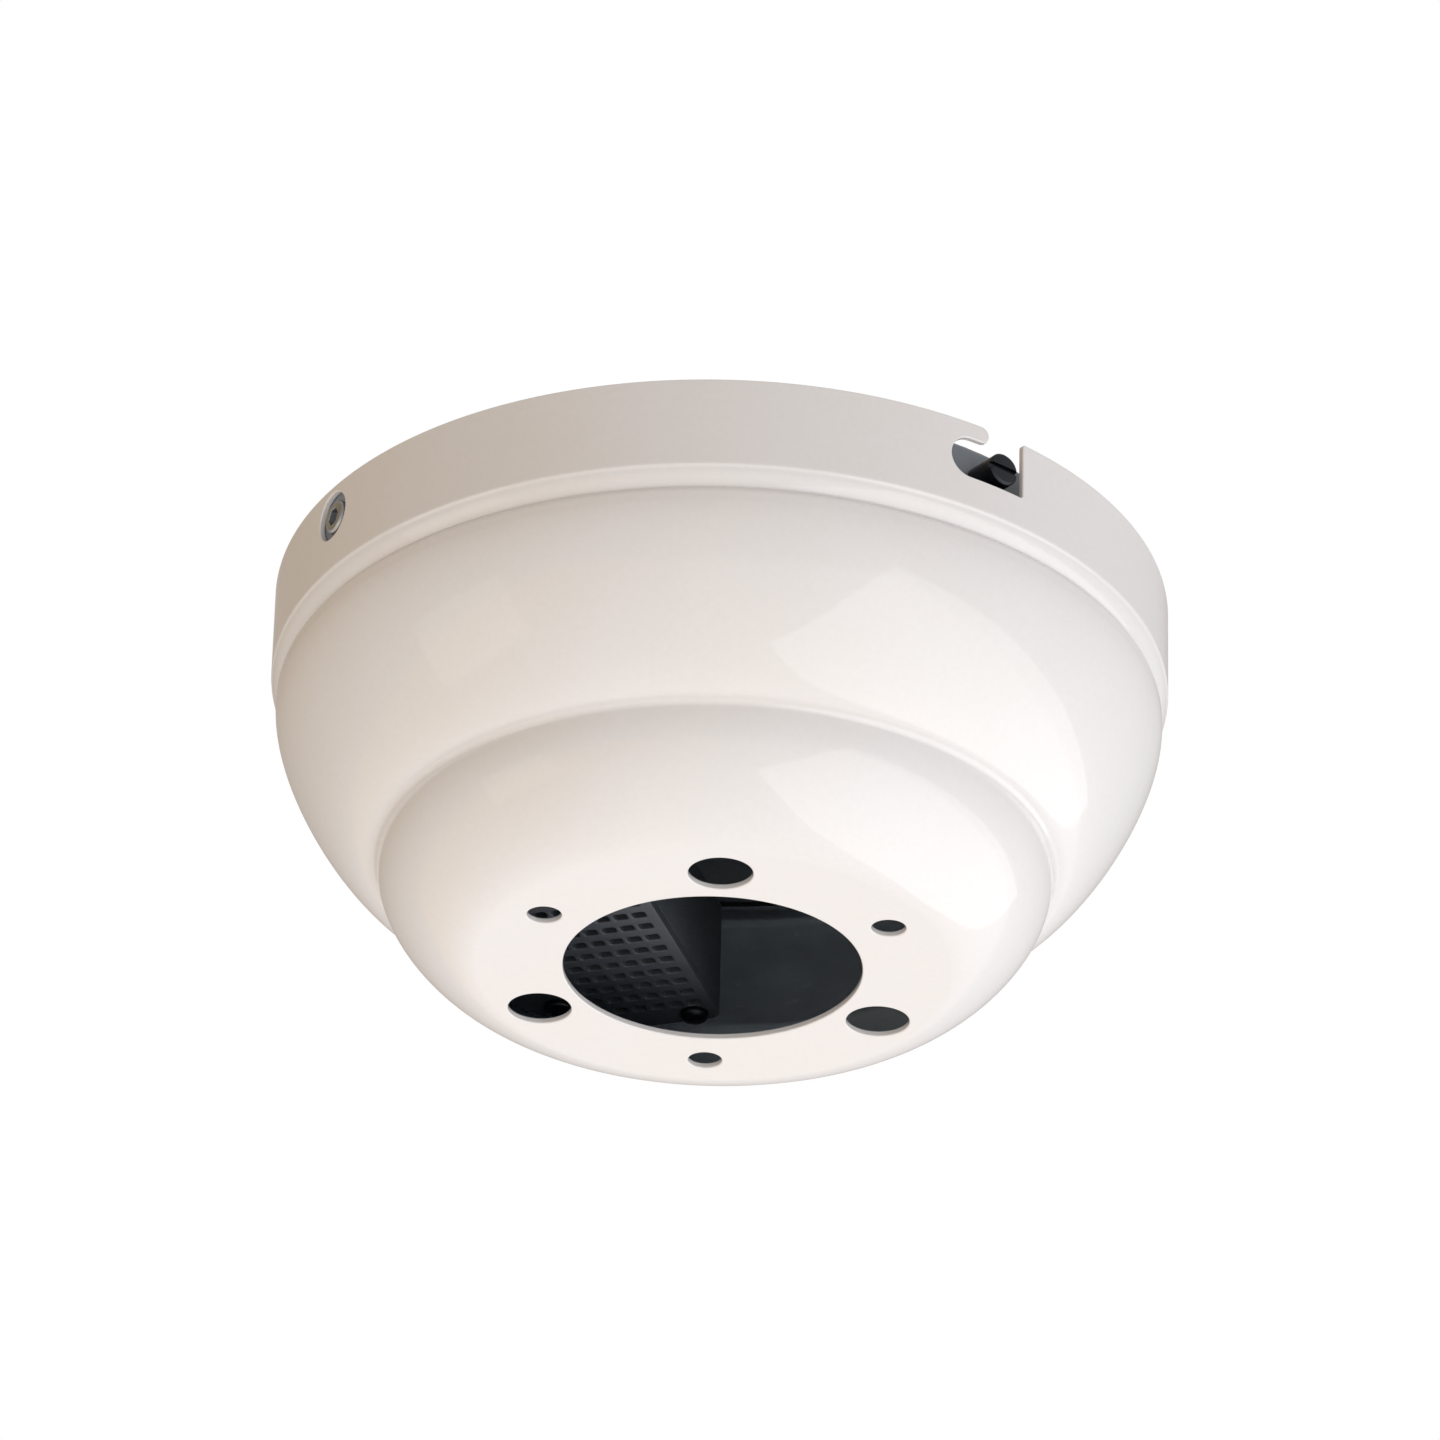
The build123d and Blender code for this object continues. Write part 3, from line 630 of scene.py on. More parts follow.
def screw_places(node):
    """Each screw's lowest middle point, width and height, from its node's separate solids."""
    shape = bmesh.new()
    shape.from_mesh(frame["nodes"][node].data)
    bmesh.ops.remove_doubles(shape, verts=shape.verts, dist=MERGE)
    waiting = set(shape.verts)
    places = []
    while waiting:
        island = {waiting.pop()}
        edge_of = set(island)
        while edge_of:
            near = {edge.other_vert(vert) for vert in edge_of for edge in vert.link_edges} & waiting
            waiting -= near
            island |= near
            edge_of = near
        low = Vector([min(vert.co[axis] for vert in island) for axis in range(3)])
        high = Vector([max(vert.co[axis] for vert in island) for axis in range(3)])
        middle = Vector(((low.x + high.x) / 2, (low.y + high.y) / 2, low.z))
        places.append((middle, high.x - low.x, high.z - low.z))
    shape.free()
    return sorted(places, key=lambda place: tuple(place[0]))


def lathe(name, profile, columns):
    """A closed turned mesh about the vertical; the profile runs from the top's middle to the bottom's."""
    skin = Skin()
    angles = [2 * pi * k / columns for k in range(columns)]
    rows = [[skin.point((radius * cos(angle), radius * sin(angle), height), (0, 0, 0)) for angle in angles]
            for radius, height in profile]
    mesh = bpy.data.meshes.new(name)
    faces = []
    for upper, lower in zip(rows, rows[1:]):
        for k in range(columns):
            corners = [upper[k], lower[k], lower[(k + 1) % columns], upper[(k + 1) % columns]]
            faces.append(list(dict.fromkeys(corners)))
    mesh.from_pydata(skin.points, [], faces)
    return link(name, mesh)


def pan_head_screw(radius, head_height, tall, head_up):
    """A pan-head screw with a driver cross, its lowest point at the origin."""
    shank = radius / 2
    pitch = shank * 0.35
    profile = [(0, tall), (radius * 0.45, tall - head_height * 0.02)]
    profile += [(radius * (0.55 + 0.45 * sin(angle)), tall - head_height * (0.55 - 0.5 * cos(angle)))
                for angle in (radians(15 * step) for step in range(7))]
    under = tall - head_height
    profile += [(radius, tall - head_height * 0.9), (radius * 0.96, under), (shank, under)]
    for turn_number in range(int(under / pitch) - 1):
        top = under - pitch * (turn_number + 0.6)
        profile += [(shank * 0.84, top), (shank, top - pitch * 0.45)]
    profile += [(shank * 0.6, 0), (0, 0)]
    screw = lathe("screw", profile, 36)
    cross = bmesh.new()
    for turned in (0, radians(90)):
        shape = Matrix.Rotation(turned, 4, "Z") @ Matrix.Translation((0, 0, tall)) @ Matrix.Diagonal(
            (radius * 1.15, radius * 0.27, head_height * 1.3, 1))
        bmesh.ops.create_cube(cross, size=1.0, matrix=shape)
    for vert in cross.verts:
        if vert.co.z < tall:
            vert.co.xy *= 0.62
    mesh = bpy.data.meshes.new("driver_cross")
    cross.to_mesh(mesh)
    cross.free()
    cutter = link("driver_cross", mesh)
    cut = screw.modifiers.new("driver_cross", "BOOLEAN")
    cut.object = cutter
    cut.use_self = True
    settle(screw)
    bpy.data.objects.remove(cutter)
    if not head_up:
        screw.data.transform(Matrix.Translation((0, 0, tall)) @ Matrix.Rotation(pi, 4, "X"))
    return screw


def rib_bar(width, reach, height):
    """A low rib along X with sloping sides, its foot just under the origin's plane."""
    shape = bmesh.new()
    bmesh.ops.create_cube(shape, size=1.0, matrix=Matrix.Diagonal((reach, width, height * 2, 1)))
    for vert in shape.verts:
        if vert.co.z > 0:
            vert.co.y *= 0.45
            vert.co.x *= 0.86
    mesh = bpy.data.meshes.new("rib")
    shape.to_mesh(mesh)
    shape.free()
    return link("rib", mesh)


def even_normals(piece, angle=35):
    """Shades smoothly across rounded edges while the flats stay flat."""
    mesh = piece.data
    mesh.polygons.foreach_set("use_smooth", [True] * len(mesh.polygons))
    mesh.set_sharp_from_angle(angle=radians(angle))
    weighted = piece.modifiers.new("even_normals", "WEIGHTED_NORMAL")
    weighted.keep_sharp = True
    return settle(piece)


def finishes():
    return {slot: bpy.data.materials[name] for slot, name in bpy.context.scene["finish_names"].items()}


def dressed(node, bevel, material=None, segments=2, angle=28):
    """A copy of a plain node with merged faces and softened edges."""
    mesh = frame["nodes"][node].data.copy()
    shape = bmesh.new()
    shape.from_mesh(mesh)
    bmesh.ops.remove_doubles(shape, verts=shape.verts, dist=MERGE)
    bmesh.ops.dissolve_limit(shape, angle_limit=radians(0.8), verts=shape.verts, edges=shape.edges)
    shape.to_mesh(mesh)
    shape.free()
    mesh.materials.clear()
    mesh.materials.append(material or finishes()[SLOT_OF[node]])
    piece = link(f"{node}_detailed", mesh)
    soft = piece.modifiers.new("soft_edges", "BEVEL")
    soft.width = bevel
    soft.segments = segments
    soft.limit_method = "ANGLE"
    soft.angle_limit = radians(angle)
    soft.harden_normals = True
    mesh.polygons.foreach_set("use_smooth", [True] * len(mesh.polygons))
    settle(piece)
    mesh = piece.data
    mesh.polygons.foreach_set("use_smooth", [True] * len(mesh.polygons))
    mesh.set_sharp_from_angle(angle=radians(40))
    return seat(piece, BODY_OF[node], node)


# ---------------------------------------------------------------- geometry nodes
def new_tree(name, sockets):
    """A geometry node group with these named inputs; returns the tree and its input node."""
    tree = bpy.data.node_groups.new(name, "GeometryNodeTree")
    tree.interface.new_socket("Geometry", in_out="INPUT", socket_type="NodeSocketGeometry")
    for label, kind, description in sockets:
        socket = tree.interface.new_socket(label, in_out="INPUT", socket_type=kind)
        socket.description = description
    tree.interface.new_socket("Geometry", in_out="OUTPUT", socket_type="NodeSocketGeometry")
    return tree, tree.nodes.new("NodeGroupInput")


def finish_tree(tree, geometry, material):
    """Realizes the instances, sets their material and ends the tree."""
    real = add(tree, "GeometryNodeRealizeInstances", {"Geometry": geometry})
    smooth = add(tree, "GeometryNodeMergeByDistance", {"Geometry": real.outputs[0], "Distance": MERGE})
    painted = add(tree, "GeometryNodeSetMaterial", {"Geometry": smooth.outputs[0], "Material": material})
    end = tree.nodes.new("NodeGroupOutput")
    tree.links.new(painted.outputs[0], end.inputs[0])
    return tree


def join_tree(tree, start, grown):
    """Joins what was grown to the piece itself and ends the tree."""
    both = add(tree, "GeometryNodeJoinGeometry")
    tree.links.new(start.outputs["Geometry"], both.inputs[0])
    tree.links.new(grown.outputs[0], both.inputs[0])
    return finish_tree(tree, both.outputs[0], start.outputs["Finish"])


def grow(piece, tree, values):
    """Puts the tree on a piece, sets its inputs by identifier and applies it."""
    modifier = piece.modifiers.new(tree.name, "NODES")
    modifier.node_group = tree
    for item in tree.interface.items_tree:
        if item.in_out == "INPUT" and item.name in values:
            modifier[item.identifier] = values[item.name]
    return settle(piece)


def screws_tree():
    """A screw on each point, turned at random about its own axis."""
    tree, start = new_tree("Screws on Places", [
        ("Screw", "NodeSocketObject", "The screw to repeat"),
        ("Spin Seed", "NodeSocketInt", "How far each screw was driven"),
        ("Finish", "NodeSocketMaterial", "Material of the screws")])
    screw = add(tree, "GeometryNodeObjectInfo", {"Object": start.outputs["Screw"]})
    seed = start.outputs["Spin Seed"]
    spin = add(tree, "FunctionNodeRandomValue", {"Seed": seed}, data_type="FLOAT_VECTOR")
    spin.inputs["Min"].default_value = (0, 0, 0)
    spin.inputs["Max"].default_value = (0, 0, 2 * pi)
    placed = add(tree, "GeometryNodeInstanceOnPoints", {
        "Points": start.outputs["Geometry"], "Instance": screw.outputs["Geometry"],
        "Rotation": spin.outputs["Value"]})
    return finish_tree(tree, placed.outputs["Instances"], start.outputs["Finish"])


def vents_tree():
    """Rows and columns of vent cells that join into one plate."""
    tree, start = new_tree("Vent Grid", [
        ("Cell", "NodeSocketObject", "One vent with the plate round it"),
        ("Columns", "NodeSocketInt", "Columns of vents"),
        ("Rows", "NodeSocketInt", "Rows of vents"),
        ("Width", "NodeSocketFloat", "From the first column to the last"),
        ("Length", "NodeSocketFloat", "From the first row to the last"),
        ("Middle", "NodeSocketVector", "Middle of the grid"),
        ("Turn", "NodeSocketFloat", "Turn about the vertical"),
        ("Finish", "NodeSocketMaterial", "Material of the plate")])
    cell = add(tree, "GeometryNodeObjectInfo", {"Object": start.outputs["Cell"]})
    grid = add(tree, "GeometryNodeMeshGrid", {
        "Size X": start.outputs["Width"], "Size Y": start.outputs["Length"],
        "Vertices X": start.outputs["Columns"], "Vertices Y": start.outputs["Rows"]})
    placed = add(tree, "GeometryNodeInstanceOnPoints",
                 {"Points": grid.outputs["Mesh"], "Instance": cell.outputs["Geometry"]})
    centred = add(tree, "GeometryNodeTransform",
                  {"Geometry": placed.outputs["Instances"], "Translation": start.outputs["Middle"]})
    about = add(tree, "ShaderNodeCombineXYZ", {"Z": start.outputs["Turn"]})
    turned = add(tree, "GeometryNodeTransform",
                 {"Geometry": centred.outputs[0], "Rotation": about.outputs[0]})
    return join_tree(tree, start, turned)


def ribs_tree():
    """Radial ribs round a ring, left out near its notches."""
    tree, start = new_tree("Ribs Round a Ring", [
        ("Rib", "NodeSocketObject", "The rib to repeat"),
        ("Count", "NodeSocketInt", "Ribs all round"),
        ("Radius", "NodeSocketFloat", "Radius of the ribs' middles"),
        ("Height", "NodeSocketFloat", "Height of the ribs' feet"),
        ("Notch Turn", "NodeSocketFloat", "Angle of the first notch"),
        ("Notch Half", "NodeSocketFloat", "Half angle of a notch"),
        ("Finish", "NodeSocketMaterial", "Material of the ribs")])
    rib = add(tree, "GeometryNodeObjectInfo", {"Object": start.outputs["Rib"]})
    ring = add(tree, "GeometryNodeMeshCircle",
               {"Vertices": start.outputs["Count"], "Radius": start.outputs["Radius"]})
    index = add(tree, "GeometryNodeInputIndex")
    part = sum_node(tree, "DIVIDE", index.outputs[0], start.outputs["Count"])
    angle = sum_node(tree, "MULTIPLY", part, 2 * pi)
    away = sum_node(tree, "SUBTRACT", angle, start.outputs["Notch Turn"])
    clear = sum_node(tree, "ABSOLUTE", sum_node(tree, "SINE", away))
    limit = sum_node(tree, "SINE", start.outputs["Notch Half"])
    keep = add(tree, "FunctionNodeCompare", {"A": clear, "B": limit}, operation="GREATER_THAN")
    about = add(tree, "ShaderNodeCombineXYZ", {"Z": angle})
    placed = add(tree, "GeometryNodeInstanceOnPoints", {
        "Points": ring.outputs["Mesh"], "Instance": rib.outputs["Geometry"], "Selection": keep.outputs[0],
        "Rotation": about.outputs[0]})
    lift = add(tree, "ShaderNodeCombineXYZ", {"Z": start.outputs["Height"]})
    raised = add(tree, "GeometryNodeTransform",
                 {"Geometry": placed.outputs["Instances"], "Translation": lift.outputs[0]})
    return join_tree(tree, start, raised)


# ------------------------------------------------------------------ canopy shell
def shell_profile(sizes, inner):
    """Radius and height down the outer or inner side, from the bead's top to the flat."""
    inset = sizes.wall if inner else 0.0
    skirt = sizes.rim_radius - inset
    bead_z = SHELL_HIGH.z - sizes.bead_drop
    shoulder_z = bead_z - sizes.bead_height
    bulge_z = shoulder_z - sizes.shoulder
    bulge = sizes.rim_radius - sizes.bulge_inset - inset
    crease_z = SHELL_LOW.z + sizes.crease_height
    fold = sizes.crease_fillet + inset
    fold_r = sizes.crease_radius + sizes.crease_fillet
    dome_z = crease_z - sizes.crease_fillet
    dome = sizes.crease_radius - inset
    floor_z = SHELL_LOW.z + inset
    line = Vector((skirt - sizes.bead_step, shoulder_z + sizes.bead_step - sizes.bulge_inset))
    chain = [Vector((skirt, bead_z + sizes.skirt_margin))]
    chain += run(chain[0], (skirt, bead_z), 8)
    if inner:
        chain += run(chain[-1], line, 14)
    else:
        crest = Vector((skirt - sizes.bead_groove, bead_z - sizes.bead_groove))
        push = Vector((sizes.bead_crown * 4 / 3, 0))
        chain += run(chain[-1], crest, 3)
        chain += bezier(crest, crest.lerp(line, 1 / 3) + push, crest.lerp(line, 2 / 3) + push, line, 24)
    chain += run(chain[-1], (bulge, shoulder_z), 8)
    chain += run(chain[-1], (bulge, bulge_z), 12)
    chain = soften(chain, 5)
    start = chain[-1]
    bulge_end = Vector((fold_r, crease_z + inset))
    drop = (bulge_z - crease_z) * sizes.bulge_fullness
    reach = (bulge - fold_r) * sizes.bulge_fullness
    chain += bezier(start, (bulge - sizes.bulge_draft, bulge_z - drop), (fold_r + reach, bulge_end.y),
                    bulge_end, 30)
    chain += arc((fold_r, dome_z), fold, 90, 180, 8)[1:]
    drop = (dome_z - SHELL_LOW.z) * sizes.dome_fullness
    reach = (sizes.crease_radius - sizes.flat_radius) * sizes.dome_fullness
    chain += bezier(chain[-1], (dome, dome_z - drop), (sizes.flat_radius + reach, floor_z),
                    (sizes.flat_radius, floor_z), 26)
    return chain


def revolve(skin, profile, slot, inner):
    """Turns a profile about the vertical, with its true normals."""
    rows = []
    last = len(profile) - 1
    for number, (radius, height) in enumerate(profile):
        ahead = profile[min(last, number + 1)] - profile[max(0, number - 1)]
        if number == 0:
            ahead = Vector((0, -1))
        if number == last:
            ahead = Vector((-1, 0))
        out = Vector((-ahead.y, ahead.x)).normalized() * (-1 if inner else 1)
        row = []
        for column in range(COLUMNS):
            angle = SEAM + 2 * pi * column / COLUMNS
            place = (radius * cos(angle), radius * sin(angle), height)
            row.append(skin.point(place, (out.x * cos(angle), out.x * sin(angle), out.y)))
        rows.append(row)
    skin.rows(rows, slot, True)


def slot_outline(cuts, middle, rim_z):
    """The open slot from the lip's nose round to the rim on its other side."""
    left = middle - cuts.slot_length / 2
    right = middle + cuts.slot_length / 2
    top = rim_z - cuts.lip
    low = top - cuts.slot_height
    nose = cuts.lip / 2
    tip = right - cuts.mouth
    end = cuts.slot_height / 2
    corner = cuts.corner
    path = arc((tip - nose, rim_z - nose), nose, 90, -90, 16)
    path += run(path[-1], (left + end, top), 6)
    path += arc((left + end, top - end), end, 90, 270, 28)[1:]
    path += run(path[-1], (right - corner, low), 12)
    path += arc((right - corner, low + corner), corner, -90, 0, 5)[1:]
    path += run(path[-1], (right, rim_z - corner), 10)
    path += arc((right + corner, rim_z - corner), corner, 180, 90, 5)[1:]
    return path


def shell_skirt(skin, sizes, cuts):
    """The skirt from the rim to the bead, with its slots and side holes."""
    radius = sizes.rim_radius
    rim_z = SHELL_HIGH.z
    low_z = rim_z - sizes.bead_drop + sizes.skirt_margin
    around = 2 * pi * radius

    def lay(spot, depth):
        angle = SEAM + spot.x / radius
        out = Vector((cos(angle), sin(angle), 0))
        place = out * (radius - depth) + Vector((0, 0, spot.y))
        return place, Vector((-sin(angle), cos(angle), 0)), Vector((0, 0, 1)), out

    def along(angle):
        return ((angle - SEAM) % (2 * pi)) * radius

    sheet = Sheet(skin, lay, sizes.wall, sizes.edge)
    columns = [around * column / COLUMNS for column in range(COLUMNS + 1)]
    slots = sorted((slot_outline(cuts, along(cuts.slot_turn + half), rim_z) for half in (0, pi)),
                   key=lambda path: path[0].x)
    rim = []
    left = 0.0
    for path in [*slots, None]:
        right = path[0].x if path else around + sizes.edge
        rim += [Vector((x, rim_z)) for x in columns if left <= x < right - sizes.edge * 0.5]
        if path:
            rim += path
            left = path[-1].x + sizes.edge
    upper = sheet.cut(rim, closed=False)
    lower = [Vector((x, low_z)) for x in columns]
    holes = []
    middles = [Vector((along(cuts.lock_turn + half), rim_z - cuts.lock_drop)) for half in (0, pi)]
    for middle in middles:
        holes.append(sheet.cut(circle(middle, cuts.lock_hole, 56)))
    slot_low = rim_z - cuts.lip - cuts.slot_height - SPOT_MARGIN
    spots = []
    for row in range(1, SKIRT_ROWS):
        height = low_z + (rim_z - low_z) * row / SKIRT_ROWS
        for x in columns[1:-1:2]:
            spot = Vector((x, height))
            beside_slot = height > slot_low and any(
                path[0].x - cuts.slot_length < x < path[-1].x + SPOT_MARGIN for path in slots)
            beside_hole = any((spot - middle).length < cuts.lock_hole + SPOT_MARGIN for middle in middles)
            if not beside_slot and not beside_hole:
                spots.append(spot)
    sheet.fill([upper + lower[::-1], *holes], spots)


def shell_flat(skin, sizes, cuts):
    """The flat bottom, with the hub opening and the holes round it."""
    def lay(spot, depth):
        place = Vector((spot.x, spot.y, SHELL_LOW.z + depth))
        return place, Vector((1, 0, 0)), Vector((0, 1, 0)), Vector((0, 0, -1))

    sheet = Sheet(skin, lay, sizes.wall, sizes.edge)
    loops = [circle((0, 0), sizes.flat_radius, COLUMNS, SEAM)]
    loops.append(sheet.cut(circle((0, 0), sizes.hub_radius, 240)))
    for number in range(6):
        angle = cuts.hole_turn + number * radians(60)
        radius, steps = (cuts.isolator_hole, 64) if number % 2 == 0 else (cuts.screw_hole, 44)
        middle = (cuts.hole_circle * cos(angle), cuts.hole_circle * sin(angle))
        loops.append(sheet.cut(circle(middle, radius, steps)))
    sheet.fill(loops)


class CANOPY_OT_shell(Operator):
    """Makes the enamelled shell as one closed skin"""
    bl_idname = "canopy.shell"
    bl_label = "Enamelled shell"

    def execute(self, context):
        sizes = context.scene.canopy_shell
        cuts = context.scene.canopy_cuts
        skin = Skin()
        revolve(skin, shell_profile(sizes, False), 0, False)
        revolve(skin, shell_profile(sizes, True), 1, True)
        shell_skirt(skin, sizes, cuts)
        shell_flat(skin, sizes, cuts)
        made = finishes()
        piece = skin.piece("enamelled_shell", [made["enamel"], made["inside"]])
        seat(piece, "canopy", "canopy_shell")
        return {"FINISHED"}


class CANOPY_OT_finishes(Operator):
    """Makes every finish once and remembers which slot it belongs to"""
    bl_idname = "canopy.finishes"
    bl_label = "Finishes"

    def execute(self, context):
        made = make_finishes(context.scene.canopy_colours)
        context.scene["finish_names"] = {slot: material.name for slot, material in made.items()}
        return {"FINISHED"}


class CANOPY_OT_hanger(Operator):
    """Dresses the hanger plate, its studs, nuts, bushing and ground washer"""
    bl_idname = "canopy.hanger"
    bl_label = "Hanger plate"

    def execute(self, context):
        bevel = context.scene.canopy_hardware.bevel
        dressed("hanger_plate", bevel)
        dressed("wire_bushing", bevel)
        dressed("ground_washer", bevel / 3)
        dressed("receiver_bracket", bevel)
        for number in (1, 2):
            dressed(f"bayonet_stud_{number}", bevel / 2)
            dressed(f"stud_nut_{number}", bevel)
        return {"FINISHED"}


class CANOPY_OT_locks(Operator):
    """Dresses the lock screws, their bushes and their pressure pads"""
    bl_idname = "canopy.locks"
    bl_label = "Lock screws"

    def execute(self, context):
        bevel = context.scene.canopy_hardware.bevel
        for number in (1, 2):
            dressed(f"screw_bush_{number}", bevel)
            dressed(f"lock_screw_{number}", bevel / 2)
            dressed(f"pressure_pad_{number}", bevel / 2)
        return {"FINISHED"}


class CANOPY_OT_receiver(Operator):
    """Dresses the receiver's case and what it holds"""
    bl_idname = "canopy.receiver"
    bl_label = "Receiver"

    def execute(self, context):
        bevel = context.scene.canopy_hardware.bevel
        for node in ("receiver_case", "circuit_board", "relays", "speed_capacitors", "heat_sink",
                     "code_switch", "terminal_block"):
            dressed(node, bevel)
        for number in range(1, 5):
            dressed(f"code_slider_{number}", bevel / 2)
        return {"FINISHED"}


class CANOPY_OT_vented_lid(Operator):
    """Makes the receiver's lid: a plain border round a grid of vents"""
    bl_idname = "canopy.vented_lid"
    bl_label = "Vented lid"

    def execute(self, context):
        sizes = context.scene.canopy_receiver
        low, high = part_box("receiver_lid")
        grid_x = (sizes.columns - 1) * sizes.column_pitch
        grid_y = (sizes.rows - 1) * sizes.row_pitch
        middle = Vector((sizes.first_column - grid_x / 2, sizes.first_row - grid_y / 2))
        cell = Skin()
        flat = Sheet(cell, flat_lay(0.0, 0.0), high.z - low.z, sizes.vent_edge)
        frame_half = (sizes.column_pitch / 2, sizes.row_pitch / 2)
        hole = rounded_box(sizes.vent_width / 2, sizes.vent_height / 2, sizes.vent_edge * 2)
        flat.fill([box_loop(*frame_half), flat.cut(hole)])
        border = Skin()
        plate = Sheet(border, flat_lay(sizes.turned, low.z), high.z - low.z, sizes.vent_edge)
        outline = plate.cut(receiver_plan(sizes)[::-1])[::-1]
        inner = []
        for half_turn in (1, -1):
            x = half_turn * (grid_x + sizes.column_pitch) / 2
            y = half_turn * (grid_y + sizes.row_pitch) / 2
            inner += [middle + Vector((-x + half_turn * sizes.column_pitch * step, -y))
                      for step in range(sizes.columns)]
            inner += [middle + Vector((x, -y + half_turn * sizes.row_pitch * step))
                      for step in range(sizes.rows)]
        holes = [plate.cut(rounded_box(sizes.window_width / 2, sizes.window_length / 2, sizes.vent_edge * 2,
                                       (sizes.window_x, sizes.window_y)))]
        for place, _, _ in screw_places("lid_screws"):
            spot = Matrix.Rotation(-sizes.turned, 2) @ place.xy
            holes.append(plate.cut(circle(spot, sizes.screw_hole, 24)))
        plate.fill([outline, inner, *holes])
        made = finishes()["case_plastic"]
        cell_piece = cell.piece("vent_cell", [made, made], False)
        lid = border.piece("vented_lid", [made, made], False)
        grow(lid, vents_tree(), {
            "Cell": cell_piece, "Columns": sizes.columns, "Rows": sizes.rows,
            "Width": grid_x, "Length": grid_y, "Middle": (middle.x, middle.y, low.z),
            "Turn": sizes.turned, "Finish": made})
        bpy.data.objects.remove(cell_piece)
        seat(even_normals(lid), "hanger", "receiver_lid")
        return {"FINISHED"}


class CANOPY_OT_screws(Operator):
    """Makes the pan-head screws in groups and dresses the terminal screws"""
    bl_idname = "canopy.screws"
    bl_label = "Small screws"

    def execute(self, context):
        hardware = context.scene.canopy_hardware
        tree = screws_tree()
        for node, head_up in (("lid_screws", False), ("bracket_plate_screws", False),
                              ("bracket_case_screws", True), ("ground_screw", False)):
            places = screw_places(node)
            wide, tall = places[0][1:]
            head_height = wide * (hardware.small_head if wide < hardware.small_limit else hardware.large_head)
            screw = pan_head_screw(wide / 2, head_height, tall, head_up)
            mesh = bpy.data.meshes.new(node)
            mesh.from_pydata([place for place, _, _ in places], [], [])
            group = link(f"{node}_driven", mesh)
            made = finishes()[SLOT_OF[node]]
            mesh.materials.append(made)
            grow(group, tree, {"Screw": screw, "Spin Seed": hardware.spin_seed, "Finish": made})
            bpy.data.objects.remove(screw)
            seat(even_normals(group), BODY_OF[node], node)
        dressed("terminal_screws", hardware.bevel / 2)
        return {"FINISHED"}


class CANOPY_OT_slip_ring(Operator):
    """Dresses the slip ring and adds its grip ribs"""
    bl_idname = "canopy.slip_ring"
    bl_label = "Slip ring"

    def execute(self, context):
        hardware = context.scene.canopy_hardware
        ring = dressed("slip_ring", hardware.bevel)
        low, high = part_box("slip_ring")
        notches = context.scene.canopy_cuts
        reach = hardware.ring_width - 2 * hardware.rib_margin
        rib = rib_bar(hardware.rib_width, reach, hardware.rib_height)
        radius = high.x - hardware.ring_width / 2
        grow(ring, ribs_tree(), {
            "Rib": rib, "Count": hardware.rib_count, "Radius": radius, "Height": high.z,
            "Notch Turn": notches.lock_turn, "Notch Half": hardware.notch_half,
            "Finish": ring.data.materials[0]})
        bpy.data.objects.remove(rib)
        return {"FINISHED"}


class CANOPY_OT_stage(Operator):
    """Sets the floor, the soft light and the camera"""
    bl_idname = "canopy.stage"
    bl_label = "Stage"

    def execute(self, context):
        stage = context.scene.canopy_stage
        mesh = bpy.data.meshes.new("floor")
        corners = [(*corner, -stage.floor_drop) for corner in box_loop(FLOOR_HALF, FLOOR_HALF)]
        mesh.from_pydata(corners, [], [(0, 1, 2, 3)])
        mesh.materials.append(floor_finish(context.scene.canopy_colours))
        link("floor", mesh)
        lamp("right_softbox", (0.98, -0.06, -0.88), (0, 0, -0.035), (2.9, 1.5), 8.6, (1.0, 1.0, 1.0))
        lamp("left_window", (-1.45, -0.55, -0.55), (0, 0, -0.035), (0.8, 0.6), 0.45, (1.0, 0.93, 0.84))
        studio_world(context.scene)
        camera = bpy.data.cameras.new("camera")
        camera.lens = stage.lens
        camera.clip_start = 0.05
        camera.clip_end = 50
        eye = bpy.data.objects.new("camera", camera)
        context.scene.collection.objects.link(eye)
        look = Matrix.Rotation(radians(90) + stage.tilt, 4, "X") @ Matrix.Rotation(stage.roll, 4, "Z")
        eye.matrix_world = Matrix.Translation(stage.eye) @ look
        context.scene.camera = eye
        return {"FINISHED"}


def lamp(name, place, target, size, power, tint):
    """A rectangular softbox that faces the target."""
    light = bpy.data.lights.new(name, "AREA")
    light.shape = "RECTANGLE"
    light.size, light.size_y = size
    light.energy = power
    light.color = tint
    lamp_object = bpy.data.objects.new(name, light)
    bpy.context.scene.collection.objects.link(lamp_object)
    aim = Vector(target) - Vector(place)
    lamp_object.matrix_world = Matrix.Translation(place) @ aim.to_track_quat("-Z", "Y").to_matrix().to_4x4()


def blend_colours(tree, factor, first, second):
    """One colour or the other, by a factor."""
    node = add(tree, "ShaderNodeMix", {0: factor}, data_type="RGBA")
    for socket, value in ((node.inputs[6], first), (node.inputs[7], second)):
        if isinstance(value, bpy.types.NodeSocket):
            tree.links.new(value, socket)
        else:
            socket.default_value = value
    return node.outputs[2]


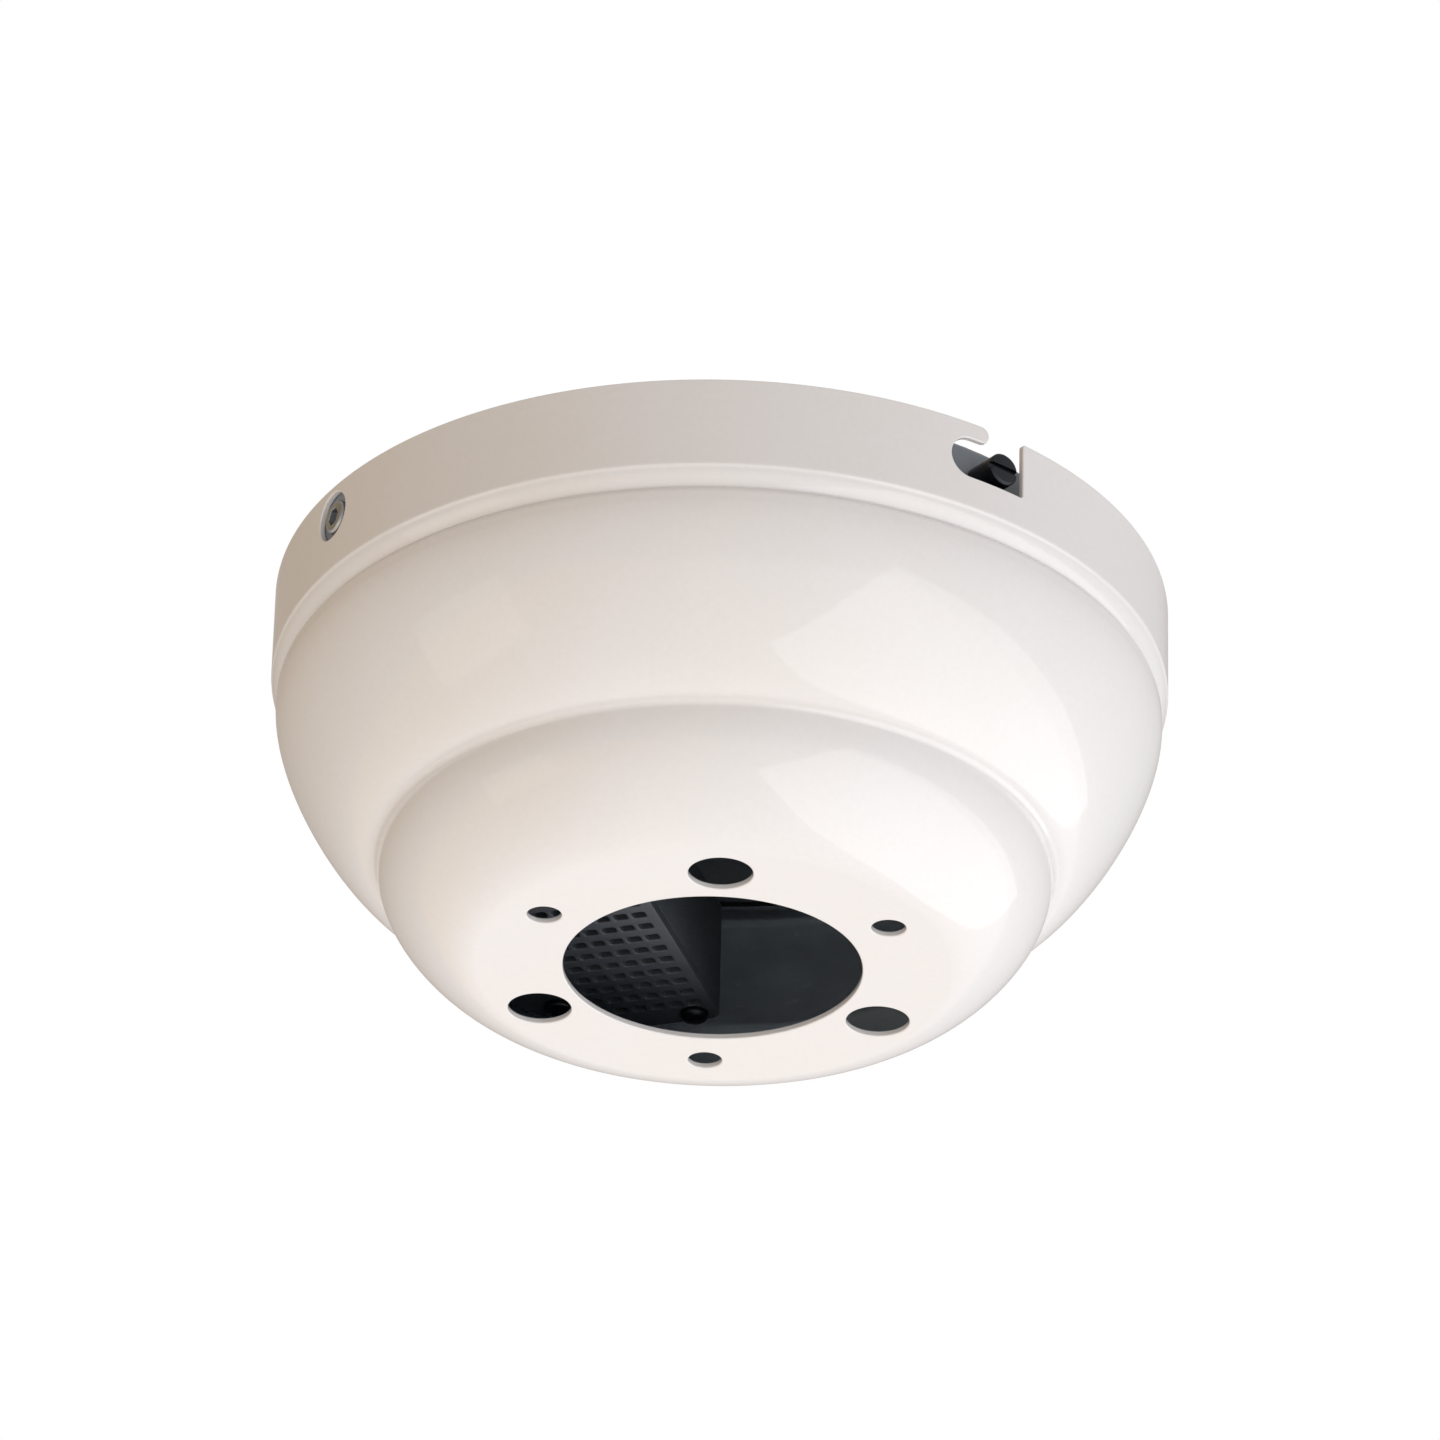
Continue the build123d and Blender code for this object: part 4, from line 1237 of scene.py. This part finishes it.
def studio_world(scene):
    """A white room to look at, which lights the object mostly from below the horizon."""
    world = bpy.data.worlds.new("studio")
    world.use_nodes = True
    tree = world.node_tree
    tree.nodes.clear()
    way = add(tree, "ShaderNodeTexCoord").outputs["Generated"]
    split = add(tree, "ShaderNodeSeparateXYZ", {"Vector": way})
    rise = add(tree, "ShaderNodeMapRange", {"Value": split.outputs["Z"], "From Min": -0.5, "From Max": 0.5})
    side = add(tree, "ShaderNodeMapRange", {"Value": split.outputs["X"], "From Min": -0.9, "From Max": 0.4})
    wall = blend_colours(tree, side.outputs[0], (0.29, 0.185, 0.07, 1), (0.60, 0.575, 0.575, 1))
    room = add(tree, "ShaderNodeBackground", {
        "Color": blend_colours(tree, rise.outputs[0], (0.72, 0.735, 0.765, 1), wall), "Strength": 1.0})
    white = add(tree, "ShaderNodeBackground", {"Color": (1, 1, 1, 1), "Strength": 1.0})
    seen = add(tree, "ShaderNodeLightPath").outputs["Is Camera Ray"]
    both = add(tree, "ShaderNodeMixShader", {0: seen, 1: room.outputs[0], 2: white.outputs[0]})
    add(tree, "ShaderNodeOutputWorld", {"Surface": both.outputs[0]})
    scene.world = world
    scene.view_settings.view_transform = "Standard"


OPERATORS = (CANOPY_OT_finishes, CANOPY_OT_shell, CANOPY_OT_hanger, CANOPY_OT_slip_ring, CANOPY_OT_locks,
             CANOPY_OT_receiver, CANOPY_OT_vented_lid, CANOPY_OT_screws, CANOPY_OT_stage)
GROUPS = {
    "canopy_shell": ShellSizes,
    "canopy_cuts": CutSizes,
    "canopy_receiver": ReceiverSizes,
    "canopy_hardware": HardwareSizes,
    "canopy_colours": FinishColours,
    "canopy_stage": StageSizes,
}


class CANOPY_PT_sidebar(Panel):
    """Lists the operators in the order they run"""
    bl_idname = "CANOPY_PT_sidebar"
    bl_label = "Ceiling canopy"
    bl_space_type = "VIEW_3D"
    bl_region_type = "UI"
    bl_category = "Canopy"

    def draw(self, context):
        for operator in OPERATORS:
            self.layout.operator(operator.bl_idname)


def register():
    for group in GROUPS.values():
        bpy.utils.register_class(group)
    for operator in OPERATORS:
        bpy.utils.register_class(operator)
    bpy.utils.register_class(CANOPY_PT_sidebar)
    for name, group in GROUPS.items():
        setattr(bpy.types.Scene, name, PointerProperty(type=group))


def unregister():
    for name in GROUPS:
        delattr(bpy.types.Scene, name)
    bpy.utils.unregister_class(CANOPY_PT_sidebar)
    for known in (*reversed(OPERATORS), *reversed(GROUPS.values())):
        bpy.utils.unregister_class(known)


def main():
    register()
    for operator in OPERATORS:
        group, name = operator.bl_idname.split(".")
        getattr(getattr(bpy.ops, group), name)()


if __name__ == "__main__":
    main()
